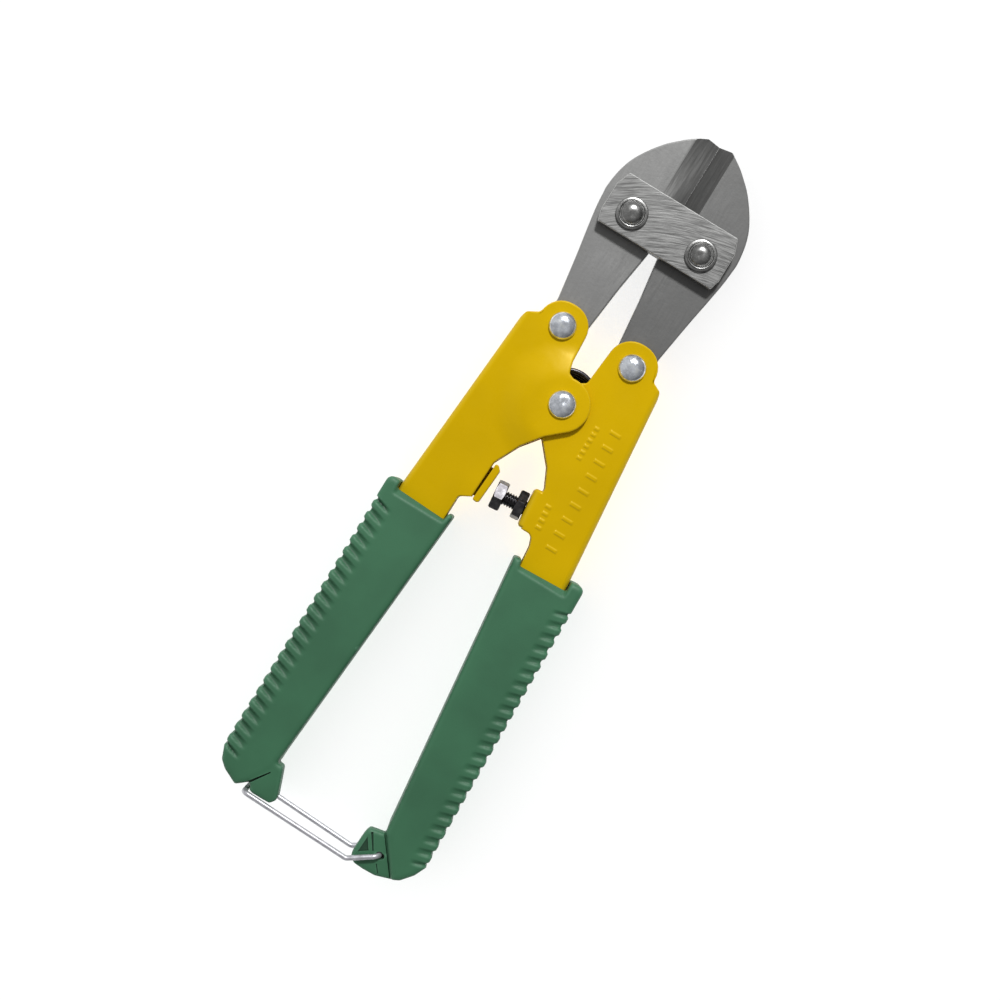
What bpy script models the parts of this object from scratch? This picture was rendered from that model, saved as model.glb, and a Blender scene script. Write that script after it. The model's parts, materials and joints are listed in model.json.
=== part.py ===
"""Hand bolt cutters, 200 mm long, lying flat with the handles latched shut.

The tool lies in the XY plane: +Y runs from the grips to the cutting tips, +X to the right, and
+Z is up through its thickness. The jaws turn on two rivets between a pair of link plates, their
tails turn on two more rivets in the pressed-steel handles, and the handles cross on one pivot.
Lengths below are in millimetres; build_mesh() turns them into metres. All of the coordinates
are taken from the handle pivot at mid-thickness, and ORIGIN then moves them to the centre of
the bottom of the bounding box.
"""
import math

import bmesh
import bpy
from mathutils import Matrix, Vector

MM = 0.001
GAP = 0.3                       # clearance between neighbouring pieces
THROUGH = 20                    # half the depth of the cutters that go right through the tool

# --- driving dimensions, through the thickness (Z from the middle of the tool) ---
JAW_HALF = 3.25                 # half the jaws' thickness
SHEET = 1.6                     # handle sheet
FLANGE_IN = JAW_HALF + GAP      # inner faces of both handles' flanges and of the link plates
FLANGE_OUT = FLANGE_IN + SHEET
LOBE_IN = FLANGE_OUT + GAP      # the left handle's pivot lobe is joggled over the right handle
LOBE_OUT = LOBE_IN + SHEET
PLATE_OUT = FLANGE_IN + 3.0
WASHER_IN = PLATE_OUT + GAP
WASHER_OUT = WASHER_IN + 0.5
GRIP_HALF = 9.0                 # half the grips' thickness, the thickest part of the tool
LATCH_BACK = -5.0               # back of the hook and the lug at the ends of the grips
HOOK_TOP = 8.9
HOOK_STEP = 3.3                 # under this, the hook is narrower
LUG_TOP = 7.2
LUG_STEP = 3.2
BAIL_Z = 8.2                    # the bail's two legs run outside the hook and the lug
BAIL_INNER_Z = 6.2              # its back leg stands closer in at the lug
RIVET_TOP = GRIP_HALF - 0.05

# --- driving dimensions, in plan ---
ORIGIN = Vector((-1.80, 24.01, GRIP_HALF))
JAW_PIVOT = (10.07, 49.8)       # right-hand side; the left is its mirror image
TAIL_PIVOT = (10.2, 17.0)
PIN_R = 2.0                     # rivet shanks
JAW_PIN_R = 2.6
TAIL_HEAD_R = 3.55
WASHER_R = {1: 4.1, -1: 3.7}     # front and back, under the jaw rivets' heads
LOBE_R = 7.1                    # both handles' flanges round the handle pivot
JOGGLE_CENTRE = (0.0, -1.2)
JOGGLE_R = 8.6                  # end of the raised lobe, inside the sheet
JOGGLE_RUN = 2.6                # length of its slope
CHANNEL_END = -108.0
BUSH_R = 3.2
COIL_CENTRE = (0.3, 2.75)
COIL_R = 6.95
SPRING_WIRE = 1.2
COIL_TURNS = 3.5
COIL_PITCH = 1.42

SCREW_TILT = math.radians(5.8)
TAB_FACE = Vector((5.69, -26.75, 0.0))      # where the screw leaves the right handle's tab
TAB_SHEET = 1.6
SCREW_R = 1.95                  # M4 thread
HEX_FLATS = 7.0
NUT_THICK = 2.4
HEAD_THICK = 2.8
HEAD_FACE = -5.95               # screw head's inner face, along the screw from the tab
SCREW_LENGTH = 14.0

BAIL_HOLE = (19.8, -119.7)
BAIL_WIRE = 1.36
BAIL_ELBOW = (13.0, -124.25)
BAIL_END = (-17.3, -123.5)      # the crossbar, behind the hook
BAIL_BEND = 1.3
BAIL_TIP_Z = 3.6                # its ends, inside the lug

RIDGES = 21
RIDGE_PITCH = 3.42
FIRST_RIDGE = -45.4
RIDGE_HEIGHT = 0.85

MATERIALS = {
    "jaw_steel": ((0.25, 0.25, 0.245), 0.42, 0.9),
    "ground_plate": ((0.38, 0.375, 0.36), 0.33, 0.95),
    "jaw_rivet_steel": ((0.33, 0.33, 0.32), 0.3, 1.0),
    "zinc_rivet": ((0.6, 0.62, 0.66), 0.25, 1.0),
    "yellow_paint": ((0.60, 0.40, 0.0), 0.35, 0.0),
    "green_plastic": ((0.048, 0.165, 0.084), 0.5, 0.0),
    "spring_steel": ((0.02, 0.02, 0.022), 0.35, 0.8),
    "black_oxide": ((0.018, 0.018, 0.02), 0.35, 0.8),
    "bright_wire": ((0.62, 0.62, 0.62), 0.28, 1.0),
}


def clear_scene():
    for item in list(bpy.data.objects):
        bpy.data.objects.remove(item, do_unlink=True)


def get_material(name):
    found = bpy.data.materials.get(name)
    if found:
        return found
    colour, roughness, metallic = MATERIALS[name]
    made = bpy.data.materials.new(name)
    made.use_nodes = True
    shader = made.node_tree.nodes["Principled BSDF"]
    shader.inputs["Base Color"].default_value = (*colour, 1.0)
    shader.inputs["Roughness"].default_value = roughness
    shader.inputs["Metallic"].default_value = metallic
    return made


def build_mesh(name, bm):
    """Close up, orient and scale a bmesh drawn in millimetres; place it about ORIGIN."""
    bmesh.ops.remove_doubles(bm, verts=bm.verts, dist=0.0005)
    bmesh.ops.transform(bm, matrix=Matrix.Translation(ORIGIN), verts=bm.verts)
    bmesh.ops.scale(bm, vec=(MM, MM, MM), verts=bm.verts)
    bmesh.ops.recalc_face_normals(bm, faces=bm.faces)
    mesh = bpy.data.meshes.new(name)
    bm.to_mesh(mesh)
    bm.free()
    made = bpy.data.objects.new(name, mesh)
    bpy.context.scene.collection.objects.link(made)
    return made


def combine(target, operation, *tools):
    """Apply an exact boolean to the target for each tool, and drop the tool."""
    for tool in tools:
        modifier = target.modifiers.new("cut", "BOOLEAN")
        modifier.object = tool
        modifier.operation = operation
        modifier.solver = "EXACT"
        graph = bpy.context.evaluated_depsgraph_get()
        result = bpy.data.meshes.new_from_object(target.evaluated_get(graph))
        target.modifiers.clear()
        target.data = result
        bpy.data.objects.remove(tool, do_unlink=True)
    return target


def finish(item, name, material, smooth=False):
    """Name the finished sub-part, clean its mesh and give it its material."""
    bm = bmesh.new()
    bm.from_mesh(item.data)
    bmesh.ops.remove_doubles(bm, verts=bm.verts, dist=0.000002)
    bmesh.ops.dissolve_limit(bm, angle_limit=math.radians(0.4), verts=bm.verts, edges=bm.edges)
    bmesh.ops.triangulate(bm, faces=bm.faces)
    bm.to_mesh(item.data)
    bm.free()
    item.name = name
    item.data.name = name
    item.data.materials.clear()
    item.data.materials.append(get_material(material))
    if smooth:
        item.data.shade_smooth()
        item.data.set_sharp_from_angle(angle=math.radians(35))
    return item


def set_pivot(item, x, y):
    """Put a moving piece's origin on its joint's axis."""
    pivot = (Vector((x, y, 0.0)) + ORIGIN) * MM
    item.data.transform(Matrix.Translation(-pivot))
    item.location = pivot


# --- outlines -------------------------------------------------------------------------

def arc(cx, cy, radius, start, end, steps):
    """Points of an arc, from start to end degrees."""
    turn = (end - start) / steps
    angles = [math.radians(start + turn * i) for i in range(steps + 1)]
    return [(cx + radius * math.cos(a), cy + radius * math.sin(a)) for a in angles]


def fillet(corners, steps=4):
    """An outline from corners (x, y) or (x, y, radius); a radius rounds its corner."""
    outline = []
    count = len(corners)
    for i, corner in enumerate(corners):
        here = Vector(corner[:2])
        if len(corner) < 3:
            outline.append(tuple(here))
            continue
        before = (Vector(corners[i - 1][:2]) - here)
        after = (Vector(corners[(i + 1) % count][:2]) - here)
        half = before.angle(after) / 2
        reach = min(corner[2] / math.tan(half), 0.98 * before.length, 0.98 * after.length)
        radius = reach * math.tan(half)
        middle = (before.normalized() + after.normalized()).normalized()
        centre = here + middle * radius / math.sin(half)
        first = here + before.normalized() * reach - centre
        last = here + after.normalized() * reach - centre
        sweep = first.angle_signed(last)
        for k in range(steps + 1):
            spoke = Matrix.Rotation(-sweep * k / steps, 2) @ first
            outline.append(tuple(centre + spoke))
    return outline


def mirrored(points):
    """The same outline on the other side of the tool."""
    return [(-p[0], *p[1:]) for p in reversed(points)]


def circle(cx, cy, radius, steps=20):
    return arc(cx, cy, radius, 0, 360, steps)[:-1]


def draw_prism(bm, outline, low, high):
    bottom = [bm.verts.new((x, y, low)) for x, y in outline]
    top = [bm.verts.new((x, y, high)) for x, y in outline]
    bm.faces.new(list(reversed(bottom)))
    bm.faces.new(top)
    for i in range(len(outline)):
        j = (i + 1) % len(outline)
        bm.faces.new((bottom[i], bottom[j], top[j], top[i]))


def prism(outline, low, high, bevel=0.0, steps=3, beveled=None):
    """A flat solid; the edges of both faces that pass beveled(x, y) are rounded."""
    bm = bmesh.new()
    draw_prism(bm, outline, low, high)
    if bevel:
        edges = [e for e in bm.edges
                 if abs(e.verts[0].co.z - e.verts[1].co.z) < 0.001
                 and all(beveled is None or beveled(v.co.x, v.co.y) for v in e.verts)]
        bmesh.ops.bevel(bm, geom=edges, offset=bevel, segments=steps, profile=0.5,
                        affect="EDGES", clamp_overlap=True)
    return build_mesh("prism", bm)


def bore(cx, cy, radius, steps=20):
    """A cutter for a hole right through the tool."""
    return prism(circle(cx, cy, radius, steps), -THROUGH, THROUGH)


def turned(profile, steps=20, place=Matrix.Identity(4)):
    """A solid of revolution about local Z from (radius, z) points, placed by a matrix."""
    bm = bmesh.new()
    ring = [bm.verts.new((r, 0, z)) for r, z in profile]
    edges = [bm.edges.new((ring[i], ring[i + 1])) for i in range(len(ring) - 1)]
    if profile[0][0] > 0.001:
        edges.append(bm.edges.new((ring[-1], ring[0])))
    bmesh.ops.spin(bm, geom=ring + edges, axis=(0, 0, 1), cent=(0, 0, 0),
                   angle=math.tau, steps=steps, use_duplicate=False)
    bmesh.ops.remove_doubles(bm, verts=bm.verts, dist=0.001)
    bmesh.ops.transform(bm, matrix=place, verts=bm.verts)
    return build_mesh("turned", bm)


def dome(radius, low, high, steps=3):
    """(radius, z) points of a low domed head, from its middle out to its rim."""
    height = high - low
    edge = 0.25 * height
    points = [(0.0, high)]
    for k in range(1, steps + 1):
        a = math.radians(90 * k / steps)
        points.append((radius * math.sin(a), low + edge + (height - edge) * math.cos(a)))
    return points


# --- cutting head ---------------------------------------------------------------------

JAW_OUTLINE = [
    (GAP / 2, 53.4), (GAP / 2, 76.85), (3.4, 76.85), (7.0, 74.5), (9.5, 72.4), (12.1, 69.9),
    (15.0, 66.1), (17.3, 62.1), (18.6, 58.0), (19.2, 53.6), (19.1, 51.0), (18.7, 46.8),
    (17.7, 40.5), (16.6, 34.0), (14.9, 22.6), *arc(*TAIL_PIVOT, 5.0, 10, -190, 9), (4.3, 20.6),
    (2.95, 33.2),
]
JAW_BEVEL = {-1: 6.1, 1: 4.4}   # width of the left and right ground bevels
EDGE_HALF = 0.25                # half the blunt thickness of the cutting edge
BEVEL_START = 55.5


def cut_bevels(jaw, side):
    """Grind the cutting edge from both faces."""
    width = JAW_BEVEL[side]
    for face in (1, -1):
        bm = bmesh.new()
        section = [(width, JAW_HALF + 0.01), (0.0, EDGE_HALF), (-1.0, EDGE_HALF),
                   (-1.0, JAW_HALF + 2), (width, JAW_HALF + 2)]
        near = [bm.verts.new((side * x, BEVEL_START, face * z)) for x, z in section]
        far = [bm.verts.new((side * x, 90.0, face * z)) for x, z in section]
        bm.faces.new(near)
        bm.faces.new(far)
        for i in range(len(section)):
            j = (i + 1) % len(section)
            bm.faces.new((near[i], near[j], far[j], far[i]))
        combine(jaw, "DIFFERENCE", build_mesh("grind", bm))


def make_jaw(name, side):
    outline = JAW_OUTLINE if side > 0 else mirrored(JAW_OUTLINE)
    jaw = prism(outline, -JAW_HALF, JAW_HALF)
    cut_bevels(jaw, side)
    combine(jaw, "DIFFERENCE",
            bore(side * JAW_PIVOT[0], JAW_PIVOT[1], JAW_PIN_R + GAP),
            bore(side * TAIL_PIVOT[0], TAIL_PIVOT[1], PIN_R + GAP))
    finish(jaw, name, "jaw_steel")
    set_pivot(jaw, side * JAW_PIVOT[0], JAW_PIVOT[1])


PLATE_OUTLINE = [
    (15.8, 58.35, 0.6), (17.25, 54.4, 1.5), (17.3, 46.9, 1.5), (16.5, 43.9, 0.6),
    (-16.5, 43.9, 0.6), (-17.3, 46.9, 1.5), (-17.25, 54.4, 1.5), (-15.8, 58.35, 0.6),
]
BACK_OUTLINE = [*PLATE_OUTLINE[:2], (17.3, 48.0, 1.2), (16.9, 46.0, 0.6), (-16.9, 46.0, 0.6),
                (-17.3, 48.0, 1.2), *PLATE_OUTLINE[-2:]]


def make_link_plates():
    for name, face, outline in (("front_link_plate", 1, PLATE_OUTLINE),
                                ("back_link_plate", -1, BACK_OUTLINE)):
        low, high = sorted((face * FLANGE_IN, face * PLATE_OUT))
        plate = prism(fillet(outline, 2), low, high)
        for side in (1, -1):
            combine(plate, "DIFFERENCE",
                    bore(side * JAW_PIVOT[0], JAW_PIVOT[1], JAW_PIN_R + GAP))
        finish(plate, name, "ground_plate")


# --- rivets ---------------------------------------------------------------------------

def make_rivet(name, x, y, shank, head, grip, top, material="zinc_rivet"):
    """A rivet with a domed head at both ends, clamping between -grip and +grip."""
    front = dome(head, grip, top)
    back = [(r, -z) for r, z in reversed(front)]
    profile = front + [(head, grip), (shank, grip), (shank, -grip), (head, -grip)] + back
    rivet = turned(profile, 20, Matrix.Translation((x, y, 0)))
    finish(rivet, name, material, smooth=True)
    set_pivot(rivet, x, y)


def make_washer(name, x, y, face):
    inner, outer = JAW_PIN_R + GAP, WASHER_R[face]
    low, high = sorted((face * WASHER_IN, face * WASHER_OUT))
    profile = [(outer, high), (outer, low), (inner, low), (inner, high)]
    washer = turned(profile, 20, Matrix.Translation((x, y, 0)))
    finish(washer, name, "jaw_rivet_steel", smooth=True)


def make_rivets():
    for hand, side in (("left", -1), ("right", 1)):
        x, y = side * JAW_PIVOT[0], JAW_PIVOT[1]
        make_rivet(hand + "_jaw_rivet", x, y, JAW_PIN_R, 3.35, WASHER_OUT + GAP, RIVET_TOP,
                   "jaw_rivet_steel")
        make_washer(hand + "_jaw_washer_front", x, y, 1)
        make_washer(hand + "_jaw_washer_back", x, y, -1)
        x, y = side * TAIL_PIVOT[0], TAIL_PIVOT[1]
        make_rivet(hand + "_tail_rivet", x, y, PIN_R, TAIL_HEAD_R, FLANGE_OUT + GAP, 7.3)
    make_rivet("handle_pivot_rivet", 0, 0, PIN_R, TAIL_HEAD_R, LOBE_OUT + GAP, RIVET_TOP)


def make_bush():
    """The bush between the flanges, which the spring coil hangs on."""
    half = FLANGE_IN - GAP
    profile = [(BUSH_R, half), (BUSH_R, -half), (PIN_R + GAP, -half), (PIN_R + GAP, half)]
    finish(turned(profile), "pivot_bush", "black_oxide", smooth=True)


# --- handles --------------------------------------------------------------------------

LEFT_WEB = [(-20.5, 13.4), (-24.05, -38.0), (-24.2, CHANNEL_END)]
LEFT_FLANGE = [
    (-4.0, 23.2, 6.1), (-16.5, 23.2, 6.1), (-16.7, 17.3, 1.5), (-19.9, 15.5, 1.6),
    *LEFT_WEB, (-15.2, CHANNEL_END), (-10.3, -40.0), (-10.2, -33.0, 1.0), (-7.35, -31.4),
    (-7.0, -21.2), (-6.5, -20.2, 1.0), (-3.6, -14.3), (0.3, -9.2),
    *arc(0, 0, LOBE_R, -46, 98, 12), (-2.5, 7.6, 1.0), (-3.3, 10.7),
]
RIGHT_WEB = [(19.9, 13.6), (25.0, -38.0), (28.0, CHANNEL_END)]
RIGHT_FLANGE = [
    (3.9, 23.6, 6.2), (16.6, 23.6, 6.2), (16.6, 16.9, 1.2), (19.3, 15.6, 1.6),
    *RIGHT_WEB, (19.3, CHANNEL_END), (12.1, -40.0), (11.6, -34.6), (10.6, -31.8, 1.8),
    (7.6, -31.8), (7.2, -21.2), (7.3, -20.2, 1.0), (4.9, -15.2), (-0.3, -9.2),
    *arc(0, 0, LOBE_R, 226, 82, 12), (2.55, 8.0, 1.0), (2.7, 9.9),
]
WEB_ROUND = 1.7                 # outside radius where the sheet bends into the web
WEB_INSIDE = 0.5                # inside radius of the same bend
TAB_TOP, TAB_FOOT = 5.6, -4.9   # ends of the screw's tab along the handle, from the screw
TAB_REACH = 4.0                 # how far the front flange runs in behind the tab's face
TAB_SLIT = 0.35                 # between the tab's free end and the back flange
PAD = [(-6.35, -21.0), (-5.4, -21.3), (-4.5, -22.3), (-5.1, -31.6), (-5.6, -32.0), (-6.9, -31.9)]
PAD_ROOT = [(-8.5, -30.9), (-5.6, -30.9), (-5.1, -22.3), (-8.5, -22.3)]
PAD_TOP = FLANGE_IN + 1.2       # the stop pad stands up from the back flange


def near_web(web):
    """A test for points that lie on the web's outer face."""
    def test(x, y):
        for (ax, ay), (bx, by) in zip(web, web[1:]):
            if by - 0.01 <= y <= ay + 0.01:
                along = (y - ay) / (by - ay)
                return abs(x - (ax + along * (bx - ax))) < 0.02
        return False
    return test


def channel_cavity(web, side):
    """The space inside the folded channel, open towards the other handle."""
    inner = [(x - side * SHEET, y) for x, y in web]
    far, above, below = side * 40, 40, CHANNEL_END - 22
    outline = [(-far, above), (far, above), (far, inner[0][1]), *inner,
               (inner[-1][0], below), (-far, below)]
    return prism(outline, -FLANGE_IN, FLANGE_IN, WEB_INSIDE, 2, near_web(inner))


def frustum(radius, wide, low, high):
    """A cone about the joggle's centre: radius at low, wide at high."""
    profile = [(0.0, low), (radius, low), (wide, high), (0.0, high)]
    return turned(profile, 40, Matrix.Translation((*JOGGLE_CENTRE, 0)))


def raise_lobe(channel):
    """Joggle the left handle's flanges outwards round the handle pivot."""
    lean = SHEET * math.tan(math.atan2(LOBE_IN - FLANGE_IN, JOGGLE_RUN) / 2)
    slope = JOGGLE_RUN / (LOBE_IN - FLANGE_IN)
    for face in (1, -1):
        wide = JOGGLE_R + JOGGLE_RUN + lean
        sink = 0.5
        low, high = sorted((face * (FLANGE_OUT - sink), face * LOBE_OUT))
        ends = (wide + sink * slope, JOGGLE_R + lean)
        lobe = prism(fillet(LEFT_FLANGE), low, high)
        cone = frustum(*(ends if face > 0 else reversed(ends)), low, high)
        combine(lobe, "INTERSECT", cone)
        combine(channel, "UNION", lobe)
    for face in (1, -1):
        deep = 1.0
        low, high = sorted((face * (FLANGE_IN - deep), face * LOBE_IN))
        ends = (JOGGLE_R + JOGGLE_RUN + deep * slope, JOGGLE_R)
        combine(channel, "DIFFERENCE",
                frustum(*(ends if face > 0 else reversed(ends)), low, high))


def along_screw(distance, across=0.0, z=0.0):
    """A point given along the stop screw from the tab's face, and across it in plan."""
    c, s = math.cos(SCREW_TILT), math.sin(SCREW_TILT)
    return TAB_FACE + Vector((c * distance - s * across, s * distance + c * across, z))


def block_on_screw(near, far, top, foot, low, high):
    """An upright block between two distances along the stop screw and two across it."""
    corners = [(near, top), (near, foot), (far, foot), (far, top)]
    return prism([tuple(along_screw(*corner)[:2]) for corner in corners], low, high)


def make_left_channel():
    channel = prism(fillet(LEFT_FLANGE), -FLANGE_OUT, FLANGE_OUT, WEB_ROUND, 3,
                    near_web(LEFT_WEB))
    combine(channel, "DIFFERENCE", channel_cavity(LEFT_WEB, -1))
    raise_lobe(channel)
    combine(channel, "UNION", prism(PAD, -FLANGE_OUT, PAD_TOP))
    combine(channel, "UNION", prism(PAD_ROOT, -FLANGE_OUT, -FLANGE_IN))
    combine(channel, "DIFFERENCE", bore(0, 0, PIN_R + GAP),
            bore(-TAIL_PIVOT[0], TAIL_PIVOT[1], PIN_R + GAP))
    finish(channel, "left_handle_channel", "yellow_paint")
    set_pivot(channel, 0, 0)


def make_right_channel():
    channel = prism(fillet(RIGHT_FLANGE), -FLANGE_OUT, FLANGE_OUT, WEB_ROUND, 3,
                    near_web(RIGHT_WEB))
    combine(channel, "DIFFERENCE", channel_cavity(RIGHT_WEB, 1))
    tab = block_on_screw(0.0, TAB_SHEET, TAB_TOP, TAB_FOOT, 0.4 - FLANGE_OUT, FLANGE_OUT)
    root = block_on_screw(0.4, TAB_REACH, TAB_TOP, TAB_FOOT, FLANGE_IN, FLANGE_OUT)
    slit = block_on_screw(-0.5, TAB_SHEET + 0.4, TAB_TOP + 0.2, TAB_FOOT - 0.2,
                          -FLANGE_OUT - 1, TAB_SLIT - FLANGE_OUT)
    combine(channel, "UNION", tab, root)
    combine(channel, "DIFFERENCE", slit)
    hole = turned([(0.0, -TAB_REACH), (SCREW_R + GAP, -TAB_REACH), (SCREW_R + GAP, TAB_REACH),
                   (0.0, TAB_REACH)], 20, screw_frame(0.0))
    combine(channel, "DIFFERENCE", hole, bore(0, 0, PIN_R + GAP),
            bore(TAIL_PIVOT[0], TAIL_PIVOT[1], PIN_R + GAP))
    finish(channel, "right_handle_channel", "yellow_paint")
    set_pivot(channel, 0, 0)


# --- stop screw -----------------------------------------------------------------------

def screw_frame(distance, roll=0.0):
    """A frame on the screw's axis: local Z runs from the head into the tab."""
    return (Matrix.Translation(along_screw(distance)) @ Matrix.Rotation(SCREW_TILT, 4, "Z")
            @ Matrix.Rotation(math.radians(90), 4, "Y") @ Matrix.Rotation(roll, 4, "Z"))


def hexagon_solid(place, thickness):
    """A hexagonal prism with chamfered corners, thickness along local +Z."""
    corner = HEX_FLATS / 2 / math.cos(math.radians(30))
    bm = bmesh.new()
    draw_prism(bm, circle(0, 0, corner, 6), 0, thickness)
    bmesh.ops.transform(bm, matrix=place, verts=bm.verts)
    block = build_mesh("hexagon", bm)
    wide, narrow, drop = corner + 0.1, corner - 0.45, 0.32
    round_off = turned([(0.0, 0.0), (narrow, 0.0), (wide, drop), (wide, thickness - drop),
                        (narrow, thickness), (0.0, thickness)], 24, place)
    return combine(block, "INTERSECT", round_off)


def make_stop_screw():
    head = hexagon_solid(screw_frame(HEAD_FACE - HEAD_THICK, math.radians(12)), HEAD_THICK)
    shank = turned([(0.0, -0.5), (SCREW_R, -0.5), (SCREW_R, SCREW_LENGTH - 0.6),
                    (SCREW_R - 0.5, SCREW_LENGTH), (0.0, SCREW_LENGTH)], 20,
                   screw_frame(HEAD_FACE))
    combine(head, "UNION", shank)
    finish(head, "stop_screw", "black_oxide")


def make_stop_nut():
    nut = hexagon_solid(screw_frame(-GAP - NUT_THICK, math.radians(4)), NUT_THICK)
    inner = SCREW_R + GAP
    hole = turned([(0.0, -1.0), (inner, -1.0), (inner, NUT_THICK + 1), (0.0, NUT_THICK + 1)],
                  20, screw_frame(-GAP - NUT_THICK))
    combine(nut, "DIFFERENCE", hole)
    finish(nut, "stop_nut", "black_oxide")


# --- spring and bail ------------------------------------------------------------------

def smooth_route(points, steps):
    """A Catmull-Rom curve through the points."""
    ends = [points[0] * 2 - points[1], *points, points[-1] * 2 - points[-2]]
    route = []
    for a, b, c, d in zip(ends, ends[1:], ends[2:], ends[3:]):
        for k in range(steps):
            t = k / steps
            route.append(0.5 * (2 * b + (c - a) * t + (2 * a - 5 * b + 4 * c - d) * t * t
                                + (3 * b - a - 3 * c + d) * t ** 3))
    route.append(points[-1])
    return route


def wire(name, route, diameter, material, sides=2):
    curve = bpy.data.curves.new(name, "CURVE")
    curve.dimensions = "3D"
    curve.bevel_depth = diameter / 2 * MM
    curve.bevel_resolution = sides
    curve.use_fill_caps = True
    spline = curve.splines.new("POLY")
    spline.points.add(len(route) - 1)
    for point, place in zip(spline.points, route):
        point.co = (*((place + ORIGIN) * MM), 1.0)
    item = bpy.data.objects.new(name, curve)
    bpy.context.scene.collection.objects.link(item)
    curve.materials.append(get_material(material))
    return item


def make_spring():
    """Torsion spring: a coil round the bush, and two legs that push the handles apart."""
    cx, cy = COIL_CENTRE
    steps = round(18 * COIL_TURNS)
    rise = COIL_TURNS * COIL_PITCH
    coil = []
    for k in range(steps + 1):
        angle = math.radians(180) - math.tau * COIL_TURNS * k / steps
        z = rise * (0.5 - k / steps)
        coil.append(Vector((cx + COIL_R * math.cos(angle), cy + COIL_R * math.sin(angle), z)))
    left_leg = [Vector((-20.6, -31.0, rise / 2)), Vector((-14.5, -19.5, rise / 2)),
                Vector((-9.4, -8.5, rise / 2)), coil[0] + Vector((-0.05, -2.2, 0))]
    right_leg = [coil[-1] + Vector((0.05, -2.2, 0)), Vector((9.9, -8.5, -rise / 2)),
                 Vector((15.4, -19.5, -rise / 2)), Vector((21.3, -30.0, -rise / 2))]
    route = smooth_route(left_leg, 3) + coil + smooth_route(right_leg, 3)
    wire("opening_spring", route, SPRING_WIRE, "spring_steel")


def make_bail():
    """Wire bail: two legs from the lug's hole, joined by a crossbar behind the hook."""
    hole = Vector((*BAIL_HOLE, 0))
    elbow = Vector((*BAIL_ELBOW, 0))
    end = Vector((*BAIL_END, 0))
    up = Vector((0, 0, 1))
    bend = BAIL_BEND

    def leg(face, inner):
        tip = hole + up * face * BAIL_TIP_Z
        knee = hole + up * face * inner
        turn = elbow + up * face * inner
        last = end + up * face * BAIL_Z
        first = (turn - knee).normalized()
        second = (last - turn).normalized()
        points = [tip, knee - up * face * bend]
        points += [knee - up * face * bend * 0.3 + first * bend * 0.3, knee + first * bend]
        points += [turn - first * bend, turn + (second - first) * bend * 0.25, turn + second * bend]
        points += [last - second * bend, last - (second + up * face) * bend * 0.3,
                   last - up * face * bend]
        return points

    route = leg(1, BAIL_Z) + list(reversed(leg(-1, BAIL_INNER_Z)))
    bail = wire("latch_bail", route, BAIL_WIRE, "bright_wire")
    pivot = (hole + ORIGIN) * MM
    for point in bail.data.splines[0].points:
        point.co = (*(Vector(point.co[:3]) - pivot), 1.0)
    bail.location = pivot


# --- grips ----------------------------------------------------------------------------

LEFT_OUTER = [(-27.6, -37.0), (-27.75, -115.6)]
LEFT_GRIP = [
    (-8.45, -38.0, 0.5), (*LEFT_OUTER[0], 1.6), LEFT_OUTER[1], (-26.2, -119.5, 2.0),
    (-24.2, -121.2), (-20.2, -123.1), (-17.5, -121.0), (-13.85, -114.9), (-13.77, -112.0),
]
RIGHT_OUTER = [(28.9, -36.1), (31.4, -116.0)]
RIGHT_GRIP = [
    (9.6, -38.4, 0.5), (18.0, -112.3), (18.1, -113.6), (25.4, -123.2), (27.4, -122.2),
    (29.9, -119.2), (*RIGHT_OUTER[1], 1.5), (*RIGHT_OUTER[0], 1.5),
]
HOOK = [
    (-16.2, -110.4), (-13.8, -113.1), (-12.1, -113.2, 0.5), (-11.75, -113.9), (-9.35, -120.3),
    (-9.35, -121.4, 0.5), (-10.4, -122.7, 0.6), (-16.2, -122.6, 0.5), (-16.9, -121.0),
    (-20.0, -119.0), (-21.0, -113.0),
]
HOOK_HEEL = [                   # the longer part of the hook, which reaches between the bail's legs
    (-19.5, -114.5), (-14.2, -115.6), (-12.6, -116.4), (-10.9, -121.0), (-10.9, -123.0, 0.5),
    (-11.7, -123.8, 0.5), (-16.0, -123.8, 0.5), (-16.8, -121.0), (-20.0, -119.5),
]
LUG = [
    (24.0, -109.4), (19.5, -112.5), (18.1, -114.4), (15.8, -114.8), (14.2, -115.2, 0.5),
    (13.75, -116.8, 0.6), (13.5, -122.3), (14.0, -124.0, 0.5), (15.5, -124.7), (18.0, -124.85),
    (21.4, -124.7), (25.4, -123.4), (28.0, -118.0),
]
LUG_BOSS = [
    (24.0, -111.0), (20.6, -115.6), (17.6, -117.2), (15.7, -119.0), (15.7, -123.0),
    (17.5, -124.2), (21.4, -124.2), (25.4, -123.0), (28.0, -118.0),
]
MOUTH_TOP = -30.0               # above the grips' top ends
MOUTH_LIP = -39.9               # the grips' faces stop short of their side walls


def on_line(ends, y):
    """X at a given Y on the line through two points."""
    (ax, ay), (bx, by) = ends
    return ax + (bx - ax) * (y - ay) / (by - ay)


def cut_ridges(grip, side, outer):
    """Notch the outer side, leaving a row of low ridges."""
    bm = bmesh.new()
    for k in range(RIDGES + 1):
        y = FIRST_RIDGE + RIDGE_PITCH * (0.5 - k)
        edge = on_line(outer, y)
        outside, valley = edge + side * 2, edge - side * RIDGE_HEIGHT
        draw_prism(bm, [(outside, y + 2.0), (valley, y + 0.45), (valley, y - 0.45),
                        (outside, y - 2.0)], -THROUGH, THROUGH)
    combine(grip, "DIFFERENCE", build_mesh("notches", bm))


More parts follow.
